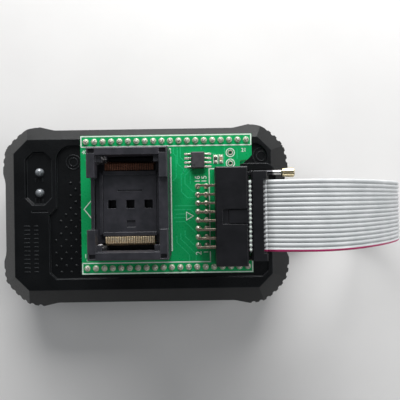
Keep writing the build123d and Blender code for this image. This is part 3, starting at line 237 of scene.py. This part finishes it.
def board_material():
    """Green solder mask under a clear coat, with the pale glass laminate at the cut edges."""
    made = Surface("board_green", (0.002, 0.37, 0.110), (0.0015, 0.30, 0.085), 0.32, grain=0.5,
                   bump=0.06, mottling=7, coat=0.25, coat_rough=0.12, edge_r=0.08, specular=0.25)
    normal = made.node("ShaderNodeNewGeometry").outputs["Normal"]
    upright = made.node("ShaderNodeMath", operation="ABSOLUTE")
    made.tree.links.new(made.axis("Z", normal), upright.inputs[0])
    cut = made.spread(upright.outputs[0], 0.6, 0.4)     # 0 on the board's faces, 1 on its edges
    fibre = made.mix(made.noise(0.3), (0.18, 0.30, 0.12), (0.30, 0.38, 0.20))
    made.tint(cut, fibre)
    return made.material


def finger_material(name, first, second, painted_shade_colour):
    """Thin gold on the socket's spring fingers, with painted shade: browner and darker lower down
    between them.
    """
    tips, roots = 56.2 * MM, 53.5 * MM      # heights where the painted shade starts and is full
    made = Surface(name, first, second, 0.28, grain=0.15, bump=0.08, metallic=0.5, mottling=1.2,
                   edge_r=0.05)
    # painted shade: darker and browner lower in the socket, between the fingers
    deep = made.spread(made.axis("Z"), tips, roots)
    made.tint(deep, painted_shade_colour)
    return made.material


def lever_material():
    """Steel rod, bright near the knob, with a painted shadow that darkens it where it runs inside the
    socket's channel.
    """
    bright_from, dark_to = 47.2 * MM, 46.0 * MM     # along X
    colour, second, rough, more = SURFACES["bright_steel"]
    made = Surface("lever_steel", colour, second, rough, **more)
    # painted shadow: near-black over the rod up to bright_from
    painted_shadow = made.spread(made.axis("X"), bright_from, dark_to)
    made.tint(painted_shadow, (0.045, 0.045, 0.048))
    return made.material


def make_materials():
    """Every finished material by name: those of the record's slots and a few more."""
    made = {name: make_surface(name, *settings) for name, settings in SURFACES.items()}
    made["green_board"] = board_material()
    # lit and shaded copies of the same gold: the front row's is a painted light tone, the rear row's a
    # painted shade
    made["gold_painted_lit"] = finger_material("gold_painted_lit", (1.0, 0.84, 0.60), (0.95, 0.74, 0.46),
                                        (0.75, 0.50, 0.26))
    made["gold_painted_shade"] = finger_material("gold_painted_shade", (0.26, 0.11, 0.065), (0.18, 0.07, 0.04),
                                        (0.10, 0.04, 0.02))
    made["lever_steel"] = lever_material()
    return made


# parts whose metal looks unlike the rest of their slot; the contact rows are painted lit and shaded
# copies of one gold, and the lever carries a painted shadow
FINISHES = {
    "tsop_contacts_front": "gold_painted_lit", "tsop_contacts_rear": "gold_painted_shade",
    "adapter_header_pins": "tinned_pin", "header_pins": "solder", "supply_chip_leads": "solder",
    "zif_lever": "lever_steel",
}


def dress_frame(materials):
    """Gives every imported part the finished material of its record's slot, or its own finish."""
    for subpart in frame["record"]["subparts"]:
        finish = FINISHES.get(subpart["node"], subpart["material_slot"])
        for place in NODES[subpart["node"]].material_slots:
            place.material = materials[finish]


# ---- mesh tools --------------------------------------------------------------------------------

def make_piece(name, mesh_data, body, slot, *materials, smooth=False):
    """A mesh object from a bmesh, riding on a body."""
    mesh = bpy.data.meshes.new(name)
    bmesh.ops.recalc_face_normals(mesh_data, faces=mesh_data.faces)
    mesh_data.to_mesh(mesh)
    mesh_data.free()
    for material in materials:
        mesh.materials.append(material)
    mesh.polygons.foreach_set("use_smooth", [smooth] * len(mesh.polygons))
    made = bpy.data.objects.new(name, mesh)
    bpy.context.scene.collection.objects.link(made)
    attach(made, body)
    return made


def lathe(shape, centre, profile, segments):
    """Adds a turned solid about an upright axis; profile is (radius, height) from the bottom up."""
    rings = []
    for radius, height in profile:
        if radius == 0:
            rings.append([shape.verts.new(centre + Vector((0, 0, height)))])
            continue
        ring = []
        for i in range(segments):
            turn = math.tau * i / segments
            ring.append(shape.verts.new(
                centre + Vector((radius * math.cos(turn), radius * math.sin(turn), height))))
        rings.append(ring)
    for lower, upper in zip(rings, rings[1:]):
        for i in range(segments):
            j = (i + 1) % segments
            corners = [lower[i % len(lower)], lower[j % len(lower)],
                       upper[j % len(upper)], upper[i % len(upper)]]
            unique = list(dict.fromkeys(corners))
            if len(unique) > 2:
                shape.faces.new(unique)
    for ring in (rings[0], rings[-1]):
        if len(ring) > 2:
            shape.faces.new(ring)


def circle(x, y, radius, count):
    """(x, y) points round a circle."""
    return [(x + radius * math.cos(math.tau * i / count), y + radius * math.sin(math.tau * i / count))
            for i in range(count)]


def tube(shape, rings):
    """Joins equal rings of points into a closed tube; gives its side faces, ring by ring."""
    sides = []
    for first, second in zip(rings, rings[1:]):
        for i in range(len(first)):
            j = (i + 1) % len(first)
            sides.append(shape.faces.new((first[i], first[j], second[j], second[i])))
    for ring in (rings[0], rings[-1]):
        shape.faces.new(ring)
    return sides


SHARPEST_MITRE = 0.4        # a mitre reaches no further than half the width over this


def line(shape, points, width, low, high, closed=False):
    """Adds a flat line of the given width along (x, y) points, mitred at its corners."""
    points = [Vector(p) for p in points]
    count = len(points)
    sides = []
    for i, point in enumerate(points):
        before = points[i - 1] if i or closed else None
        after = points[(i + 1) % count] if i < count - 1 or closed else None
        into = (point - before).normalized() if before else (after - point).normalized()
        out = (after - point).normalized() if after else into
        normal = Vector((-into.y - out.y, into.x + out.x)).normalized()
        reach = width / 2 / max(SHARPEST_MITRE, normal.dot(Vector((-into.y, into.x))))
        sides.append([point + normal * reach, point - normal * reach])
    bottom, top = [[[shape.verts.new((*side, z)) for side in pair] for pair in sides]
                   for z in (low, high)]
    for i in range(count if closed else count - 1):
        j = (i + 1) % count
        shape.faces.new((top[i][0], top[j][0], top[j][1], top[i][1]))
        shape.faces.new((bottom[i][0], bottom[i][1], bottom[j][1], bottom[j][0]))
        shape.faces.new((bottom[i][0], bottom[j][0], top[j][0], top[i][0]))
        shape.faces.new((bottom[i][1], top[i][1], top[j][1], bottom[j][1]))
    if not closed:
        for end in (0, -1):
            shape.faces.new((bottom[end][0], bottom[end][1], top[end][1], top[end][0]))


def curve_points(control_points, resolution):
    """Points along a smooth NURBS curve that has these control points."""
    curve = bpy.data.curves.new("guide", "CURVE")
    curve.dimensions = "3D"
    spline = curve.splines.new("NURBS")
    spline.points.add(len(control_points) - 1)
    for place, point in zip(spline.points, control_points):
        place.co = (*point, 1)
    spline.order_u = 3
    spline.use_endpoint_u = True
    spline.resolution_u = resolution
    guide = bpy.data.objects.new("guide", curve)
    mesh = bpy.data.meshes.new_from_object(guide)
    found = [v.co.copy() for v in mesh.vertices]
    bpy.data.objects.remove(guide)
    bpy.data.meshes.remove(mesh)
    bpy.data.curves.remove(curve)
    return found


# ---- ribbon --------------------------------------------------------------------------------------

WIRES = 16
WIRE_PITCH = 1.27 * MM
WIRE_R = 0.45 * MM
WEB = 0.13 * MM                 # thickness between the wires
RIBBON_Y = 0.7 * MM
RIBBON_WIDE = WIRES * WIRE_PITCH
MARKED_SHARE = 0.52             # share of the first wire's pitch that is coloured
LOBE_STEPS = 8

# each plug, and which way its ribbon folds back: up (1) or down (-1)
PLUGS = (("adapter", 1), ("isp", -1))

# (x, z) in millimetres, from the adapter's plug round to the programmer's own port
RIBBON_ROUTE = [
    (39.6, 57.15), (50.4, 59.77), (61.4, 57.4), (71.4, 50.8), (80.8, 42.4), (90.6, 30.2),
    (94.2, 15.4), (89.4, 4.8), (78.2, 1.2), (66.0, 2.8), (55.4, 7.6),
]


def ribbon_section():
    """(across, height) round the ribbon: sixteen round wires joined by thin webs."""
    edge = -RIBBON_WIDE / 2
    upper = []
    for wire in range(WIRES):
        for step in range(LOBE_STEPS + (wire == WIRES - 1)):
            turn = math.pi * step / LOBE_STEPS
            across = edge + WIRE_PITCH * (wire + 0.5 - 0.5 * math.cos(turn))
            upper.append((across, max(WEB / 2, WIRE_R * math.sin(turn))))
    return upper + [(across, -height) for across, height in reversed(upper)]


def sweep_ribbon(name, path, materials):
    """A mesh of the ribbon's section along path, which lies in one upright plane."""
    section = ribbon_section()
    shape = bmesh.new()
    rings = []
    for i, point in enumerate(path):
        tangent = (path[min(i + 1, len(path) - 1)] - path[max(i - 1, 0)]).normalized()
        up = Vector((-tangent.z, 0, tangent.x))
        rings.append([shape.verts.new(point + Vector((0, across, 0)) + up * height)
                      for across, height in section])
    marked = -RIBBON_WIDE / 2 + MARKED_SHARE * WIRE_PITCH
    for number, face in enumerate(tube(shape, rings)):
        i = number % len(section)
        across = (section[i][0] + section[(i + 1) % len(section)][0]) / 2
        face.material_index = int(across < marked)
    return make_piece(name, shape, ROOT, "ribbon_grey", materials["ribbon_grey"], materials["stripe"],
                      smooth=True)


def make_ribbon(materials):
    route = [(x * MM, RIBBON_Y, z * MM) for x, z in RIBBON_ROUTE]
    path = curve_points(route, 8)
    ribbon = sweep_ribbon("ribbon", path, materials)
    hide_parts("ribbon_cable")
    for plug, up in PLUGS:
        fold = make_fold(plug, up, materials)
        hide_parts(f"{plug}_ribbon_fold")


def make_fold(plug, up, materials):
    """The end of the ribbon: cut off flush, pressed through the plug and folded back over its cap."""
    cap_low, cap_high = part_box(f"{plug}_plug_cap")
    face = cap_low[0] + 2.2 * MM
    z = (cap_low[2] + cap_high[2]) / 2
    # millimetres from the plug's face and from the middle of its cap
    inner, outer, end = 0.75, 3.95, 5.6
    cut, under, over = 3.5, -3.65, 2.35
    leave = 2.75 if up > 0 else 3.1
    corner = 0.5
    slope = (leave - over) / (end - outer)
    points = [
        (inner, cut), (inner, under + corner), (inner, under), (inner + corner, under),
        (outer - corner, under), (outer, under), (outer, under + corner), (outer, over - corner),
        (outer, over), (outer + corner, over + corner * slope), (end, leave),
    ]
    route = [(face + x * MM, RIBBON_Y, z + up * height * MM) for x, height in points]
    return sweep_ribbon(f"{plug}_fold", curve_points(route, 5), materials)


def make_wire_ends(materials):
    """The cut, bright ends of the sixteen wires, a little proud of the adapter's plug."""
    low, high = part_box("adapter_ribbon_fold")
    buried = 0.4 * MM
    profile = [(0.36 * MM, 0), (0.36 * MM, 0.42 * MM), (0.22 * MM, 0.5 * MM), (0, 0.52 * MM)]
    shape = bmesh.new()
    for wire in range(WIRES):
        y = RIBBON_Y + (wire - (WIRES - 1) / 2) * WIRE_PITCH
        lathe(shape, Vector((low[0] + WIRE_R, y, high[2] - buried)), profile, 12)
    make_piece("wire_ends", shape, ROOT, "ribbon_grey", materials["silk"], smooth=True)


def make_relief_teeth(materials):
    """Small teeth of each strain relief, which reach out between the wires."""
    half, deep, reach = 0.36 * MM, 0.75 * MM, 1.05 * MM
    for plug, up in PLUGS:
        low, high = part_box(f"{plug}_plug_clamp")
        roof = high[2] - deep if up > 0 else low[2] + deep
        tip = roof - up * deep
        front = high[0] - 1.35 * MM
        shape = bmesh.new()
        for groove in range(WIRES + 1):
            y = RIBBON_Y + (groove - WIRES / 2) * WIRE_PITCH
            base = [(front, y - half, roof), (front, y + half, roof), (front, y, tip)]
            nose = (front + reach, y, (roof + tip) / 2)
            corners = [shape.verts.new(point) for point in base]
            end = shape.verts.new(nose)
            shape.faces.new(corners)
            for i in range(3):
                shape.faces.new((corners[i], corners[(i + 1) % 3], end))
        make_piece(f"{plug}_clamp_teeth", shape, ROOT, "black_plastic", materials["black_plastic"])


# ---- springs of the open-top socket ----------------------------------------------------------------

SPRING_TURNS = 7
SPRING_WIRE_R = 0.2 * MM
COIL_R = 1.15 * MM              # to the middle of the wire


def spring_rings(shape, x, y, low, high):
    """Rings of points along one coil, whose first and last turns are closed."""
    steps, sides = 24, 8
    closed = 2 * SPRING_WIRE_R      # rise of a closed turn
    open_turns = SPRING_TURNS - 2
    rise = (high - low - 2 * SPRING_WIRE_R - 2 * closed) / open_turns
    rings = []
    for i in range(SPRING_TURNS * steps + 1):
        turn = i / steps
        height = closed * (min(turn, 1) + max(turn - SPRING_TURNS + 1, 0))
        height += rise * min(max(turn - 1, 0), open_turns)
        out = Vector((math.cos(math.tau * turn), math.sin(math.tau * turn), 0))
        centre = Vector((x, y, low + SPRING_WIRE_R + height)) + out * COIL_R
        ring = []
        for side in range(sides):
            angle = math.tau * side / sides
            offset = out * math.cos(angle) + Vector((0, 0, math.sin(angle)))
            ring.append(shape.verts.new(centre + offset * SPRING_WIRE_R))
        rings.append(ring)
    return rings


def make_springs(materials):
    """The socket's four return springs, built as coils at rest; the real ones shorten as its cover goes
    down.
    """
    low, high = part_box("tsop_springs")
    outer = COIL_R + SPRING_WIRE_R
    shape = bmesh.new()
    for x in (low[0] + outer, high[0] - outer):
        for y in (low[1] + outer, high[1] - outer):
            tube(shape, spring_rings(shape, x, y, low[2], high[2]))
    springs = make_piece("socket_springs", shape, ROOT, "dark_steel", materials["dark_steel"],
                         smooth=True)
    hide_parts("tsop_springs")
    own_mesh(springs)


# ---- details of the housing ------------------------------------------------------------------------

LID_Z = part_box("rubber_feet")[0][2] + 26.0 * MM
PANEL_Z = LID_Z - 1.0 * MM
WINDOW_Z = LID_Z - 0.9 * MM

# upper end of each column of dots, in millimetres, from the left
COLUMN_TOPS = (-4.0, -1.0, 2.0, 13.0, 13.0, 16.0)
# rings in the panel's corners: x, y and radius in millimetres
PANEL_RINGS = ((-25.2, 20.0, 2.6), (-25.2, 20.0, 1.5), (43.0, 21.2, 3.0), (43.0, 21.2, 1.7))


def make_grip_dots(materials):
    """Low domes in staggered columns on the panel beside the socket."""
    column_pitch, row_pitch, radius = 1.82 * MM, 4.62 * MM, 0.55 * MM
    rise, sunk = 0.6 * radius, 0.02 * MM
    profile = [(radius * math.cos(math.radians(step)), rise * math.sin(math.radians(step)) - sunk)
               for step in (0, 22, 45, 67)] + [(0, rise)]
    first_x, first_y = -31.85 * MM, -19.9 * MM
    shape = bmesh.new()
    for column, top in enumerate(COLUMN_TOPS):
        x = first_x + column * column_pitch
        y = first_y + (0.5 * row_pitch if column % 2 == 0 else 0.0)
        while y < top * MM:
            lathe(shape, Vector((x, y, PANEL_Z)), profile, 14)
            y += row_pitch
    make_piece("grip_dots", shape, ROOT, "housing", materials["housing"], smooth=True)


def make_relief(materials):
    """Plain raised bars on the lid's land and beside the LEDs, and rings in the panel's corners."""
    shape = bmesh.new()
    rise, sunk = 0.14 * MM, 0.05 * MM
    for i in range(12):
        y = (-19.5 + 1.5 * i) * MM
        for left, right in ((-43.0, -40.9), (-39.4, -37.9)):
            line(shape, [(left * MM, y), (right * MM, y)], 0.45 * MM, LID_Z - rise, LID_Z + rise)
    for y in (13.6, 6.2):
        for i in range(3):
            x = (-39.0 + 1.3 * i) * MM
            ends = [(x, (y - 0.7) * MM), (x, (y + 0.7) * MM)]
            line(shape, ends, 0.35 * MM, WINDOW_Z - rise, WINDOW_Z + rise)
    for x, y, radius in PANEL_RINGS:
        ring = circle(x * MM, y * MM, radius * MM, 32)
        line(shape, ring, 0.4 * MM, PANEL_Z - sunk, PANEL_Z + rise, closed=True)
    make_piece("housing_relief", shape, ROOT, "housing", materials["housing"])


# ---- drawings and metal on the upper board -----------------------------------------------------------

BOARD_LOW, BOARD_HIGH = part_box("upper_board")
BOARD_TOP = BOARD_HIGH[2]
BOARD_MID = (Vector(BOARD_LOW) + Vector(BOARD_HIGH)) / 2
INK = 0.035 * MM                # how far the white ink stands above the board
MASK = 0.02 * MM                # how far a track stands above the board
HOLES = ((19.35, 12.0), (19.35, 15.2))      # plated holes, in millimetres from the board's centre
PIN_PITCH = 2.54 * MM
LEAD_PITCH = 1.27 * MM


def on_board(*points):
    """Millimetres from the board's centre to metres in the frame."""
    return [(BOARD_MID.x + x * MM, BOARD_MID.y + y * MM) for x, y in points]


# printed lines: width, then points, in millimetres from the board's centre
THIN, FINE, MEDIUM, WIDE, BROAD = 0.12, 0.22, 0.28, 0.34, 0.5
EDGE_X, EDGE_Y, ROW_Y = 25.55, 20.65, 17.5
PRINTED = [
    (WIDE, [(-EDGE_X, ROW_Y), (-EDGE_X, EDGE_Y), (EDGE_X, EDGE_Y), (EDGE_X, ROW_Y)]),
    (WIDE, [(-EDGE_X, ROW_Y), (EDGE_X, ROW_Y)]),
    (WIDE, [(-EDGE_X, -ROW_Y), (-EDGE_X, -EDGE_Y), (EDGE_X, -EDGE_Y), (EDGE_X, -ROW_Y)]),
    (WIDE, [(-EDGE_X, -ROW_Y), (12.9, -ROW_Y), (12.9, -16.9)]),
    (0.3, [(1.45, 14.2), (1.45, -14.2)]),
    (MEDIUM, [(-22.5, 1.6), (-24.9, -1.2), (-22.4, -4.3)]),
    (MEDIUM, [(14.6, 10.4), (12.9, 10.4), (12.9, -13.6)]),
    (MEDIUM, [(12.9, -14.4), (12.9, -17.4)]),
    (BROAD, [(-24.3, -16.6), (-23.6, -16.6)]),
    (THIN, [(14.28, 11.9), (14.28, 14.7)]), (THIN, [(15.52, 11.9), (15.52, 14.7)]),
    (THIN, [(15.88, 11.9), (15.88, 14.7)]), (THIN, [(17.12, 11.9), (17.12, 14.7)]),
]
ARROW = [(8.0, -3.7), (5.9, -2.5), (5.9, -4.9)]     # points at the ribbon's header

# pin numbers: digits, x and y in millimetres, turn in degrees, height in millimetres
PIN_NUMBERS = [
    ("1", -24.6, -15.4, 0, 1.3), ("20", 23.6, -15.4, 0, 1.2), ("21", 23.4, 15.9, 0, 1.2),
    ("40", -24.6, 15.9, 0, 1.2), ("16", 9.4, 7.3, 90, 1.7), ("15", 11.4, 7.3, 90, 1.7),
    ("2", 9.5, -14.9, 90, 1.8), ("1", 11.7, -14.6, 90, 1.5), ("56", 1.0, 16.0, 90, 1.3),
    ("1", 0.6, -14.9, 90, 1.2),
]
SIZE_FOR_HEIGHT = 1.3           # a font's size, as a multiple of the height of its digits


def make_silk(materials):
    """Printed outlines of the rows, sockets and small parts."""
    shape = bmesh.new()

    def draw(points, width, closed=False):
        line(shape, on_board(*points), width * MM, BOARD_TOP, BOARD_TOP + INK, closed)

    for width, points in PRINTED:
        draw(points, width)
    for x, y in HOLES:
        draw(circle(x, y, 1.25, 28), 0.26, closed=True)
    draw(ARROW, FINE, closed=True)
    make_piece("silk_lines", shape, ROOT, "green_board", materials["silk"])


def make_numerals(materials):
    """Plain pin numbers beside the rows and the header."""
    for i, (digits, x, y, turn, height) in enumerate(PIN_NUMBERS):
        text = bpy.data.curves.new("digits", "FONT")
        text.body = digits
        text.size = height * SIZE_FOR_HEIGHT * MM
        text.extrude = INK / 2
        text.offset = 0.02 * MM
        text.align_x = "CENTER"
        text.align_y = "CENTER"
        written = bpy.data.objects.new("digits", text)
        shape = bmesh.new()
        shape.from_mesh(bpy.data.meshes.new_from_object(written))
        bpy.data.objects.remove(written)
        (centre_x, centre_y), = on_board((x, y))
        bmesh.ops.rotate(shape, verts=shape.verts, cent=(0, 0, 0),
                         matrix=Matrix.Rotation(math.radians(turn), 3, "Z"))
        bmesh.ops.translate(shape, verts=shape.verts,
                            vec=(centre_x, centre_y, BOARD_TOP + INK / 2))
        make_piece(f"pin_number_{i}", shape, ROOT, "green_board", materials["silk"])


# copper tracks: points in millimetres from the board's centre
TRACES = [
    [(3.4, 17.0), (3.4, 12.2), (5.2, 10.4), (5.2, 9.0)],
    [(4.3, 17.0), (4.3, 14.0), (5.4, 12.9)],
    [(6.3, 10.6), (4.5, 8.8), (4.5, 3.6), (6.3, 1.8), (9.0, 1.8)],
    [(7.7, 10.6), (5.6, 8.5), (5.6, 6.0), (8.0, 3.6), (9.2, 3.6)],
    [(7.2, 9.6), (7.2, 5.9)],
    [(2.6, -0.6), (7.6, -0.6), (9.0, -0.6)],
    [(2.2, -1.8), (7.2, -1.8), (8.6, -3.2)],
    [(2.6, -3.1), (6.4, -3.1), (8.8, -5.5)],
    [(2.0, -4.2), (6.0, -4.2), (6.9, -5.1)],
    [(2.6, -5.4), (5.4, -5.4), (8.8, -8.8)],
    [(2.9, -9.6), (2.9, -11.6), (6.6, -15.3), (6.6, -17.2)],
    [(4.1, -8.8), (4.1, -10.6), (8.6, -15.1), (8.6, -17.0)],
    [(5.4, -8.0), (5.4, -9.8), (8.2, -12.6)],
    [(2.2, 16.8), (2.2, 15.2), (3.0, 14.4), (3.0, 8.0), (2.0, 7.0)],
    [(13.5, 15.0), (14.9, 15.0)],
    [(17.6, 16.8), (17.6, 10.8)],
    [(21.4, 16.6), (21.4, 13.2)],
    [(10.6, 16.9), (10.6, 16.2)],
    [(-24.6, 13.8), (-23.2, 12.4), (-23.2, 9.8)],
    [(-24.8, -8.0), (-23.4, -9.4), (-23.4, -13.6)],
]


def make_traces(materials):
    """Copper tracks that stand a little above the board under the green mask."""
    shape = bmesh.new()
    for route in TRACES:
        line(shape, on_board(*route), 0.24 * MM, BOARD_TOP, BOARD_TOP + MASK)
    make_piece("tracks", shape, ROOT, "green_board", materials["trace"])


def make_header_joints(materials):
    """Solder round the legs of the ribbon's header, in two rows of eight."""
    leg_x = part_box("adapter_header_pins")[0][0] + 0.32 * MM
    profile = [(0.85 * MM, 0), (0.8 * MM, 0.06 * MM), (0.5 * MM, 0.28 * MM), (0.34 * MM, 0.5 * MM)]
    shape = bmesh.new()
    for row in (0, 1):
        for i in range(8):
            spot = (leg_x + row * PIN_PITCH, RIBBON_Y + (i - 3.5) * PIN_PITCH, BOARD_TOP)
            lathe(shape, Vector(spot), profile, 16)
    make_piece("header_joints", shape, ROOT, "solder", materials["solder"], smooth=True)


def make_chip_pads(materials):
    """Tinned pads under the chip's leads, and solder on the ends of the two small parts."""
    pads = bmesh.new()
    low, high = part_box("supply_chip_leads")
    for tip, outward in ((low[0], -1), (high[0], 1)):
        x = tip + outward * 0.1 * MM
        for i in range(4):
            y = (low[1] + high[1]) / 2 + (i - 1.5) * LEAD_PITCH
            ends = [(x - 0.85 * MM, y), (x + 0.85 * MM, y)]
            line(pads, ends, 0.62 * MM, BOARD_TOP, BOARD_TOP + 0.05 * MM)
    for node in ("chip_resistor", "chip_capacitor"):
        low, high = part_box(node)
        x = (low[0] + high[0]) / 2
        for y, outward in ((low[1], -1), (high[1], 1)):
            # millimetres: how far in and out from the part's end, width and height
            for inside, outside, width, height in ((0.3, 0.45, 0.95, 0.14), (0.28, 0.06, 0.86, 0.54)):
                ends = [(x, y - outward * inside * MM), (x, y + outward * outside * MM)]
                line(pads, ends, width * MM, BOARD_TOP, BOARD_TOP + height * MM)
    make_piece("chip_pads", pads, ROOT, "solder", materials["solder"])


def make_hole_rings(materials):
    """Tinned rings round the two plated holes."""
    rings = bmesh.new()
    for x, y in on_board(*HOLES):
        ring = circle(x, y, 0.68 * MM, 24)
        line(rings, ring, 0.34 * MM, BOARD_TOP, BOARD_TOP + 0.04 * MM, closed=True)
    make_piece("hole_rings", rings, ROOT, "solder", materials["solder"])


# ---- studio ----------------------------------------------------------------------------------------

# name, place, aim and size in metres, power in watts
LIGHTS = [
    ("window_panel", (0.03, 0.42, 0.25), (0.01, 0.0, 0.03), 0.40, 3.4),
    ("low_panel", (0.04, 0.50, 0.07), (0.01, 0.0, 0.02), 0.36, 1.4),
    ("left_panel", (-0.34, 0.22, 0.34), (0.0, 0.0, 0.03), 0.26, 0.12),
    ("right_panel", (0.46, 0.02, 0.30), (0.05, 0.0, 0.03), 0.26, 0.7),
    ("front_panel", (0.20, -0.46, 0.28), (0.0, 0.0, 0.03), 0.30, 0.3),
]
SKY_STRENGTH = 0.16
FLOOR_HALF = 2.0


def make_studio():
    """A plain pale floor, soft panels of light and a faint sky."""
    shape = bmesh.new()
    bmesh.ops.create_grid(shape, x_segments=2, y_segments=2, size=FLOOR_HALF)
    mesh = bpy.data.meshes.new("floor")
    shape.to_mesh(mesh)
    shape.free()
    floor = bpy.data.objects.new("floor", mesh)
    bpy.context.scene.collection.objects.link(floor)
    pale = Surface("floor_pale", (0.70, 0.69, 0.68), (0.74, 0.73, 0.72), 0.7, grain=2.0, bump=0.02,
                   mottling=60)
    mesh.materials.append(pale.material)
    for settings in LIGHTS:
        add_light(*settings)
    world = bpy.data.worlds.new("studio")
    world.use_nodes = True
    background = world.node_tree.nodes["Background"]
    background.inputs["Color"].default_value = (0.88, 0.94, 1.0, 1)
    background.inputs["Strength"].default_value = SKY_STRENGTH
    bpy.context.scene.world = world
    bpy.context.scene.view_settings.view_transform = "Standard"


def add_light(name, place, aim, size, power):
    """A rectangular panel of light, wider than it is high."""
    data = bpy.data.lights.new(name, "AREA")
    data.shape = "RECTANGLE"
    data.size = size
    data.size_y = 0.6 * size
    data.energy = power
    light = bpy.data.objects.new(name, data)
    light.location = place
    light.rotation_euler = (Vector(aim) - Vector(place)).to_track_quat("-Z", "Y").to_euler()
    bpy.context.scene.collection.objects.link(light)


make_camera()
MATERIALS = make_materials()
make_ribbon(MATERIALS)
dress_frame(MATERIALS)
make_wire_ends(MATERIALS)
make_relief_teeth(MATERIALS)
make_springs(MATERIALS)
make_grip_dots(MATERIALS)
make_relief(MATERIALS)
make_silk(MATERIALS)
make_numerals(MATERIALS)
make_traces(MATERIALS)
make_header_joints(MATERIALS)
make_chip_pads(MATERIALS)
make_hole_rings(MATERIALS)
make_studio()
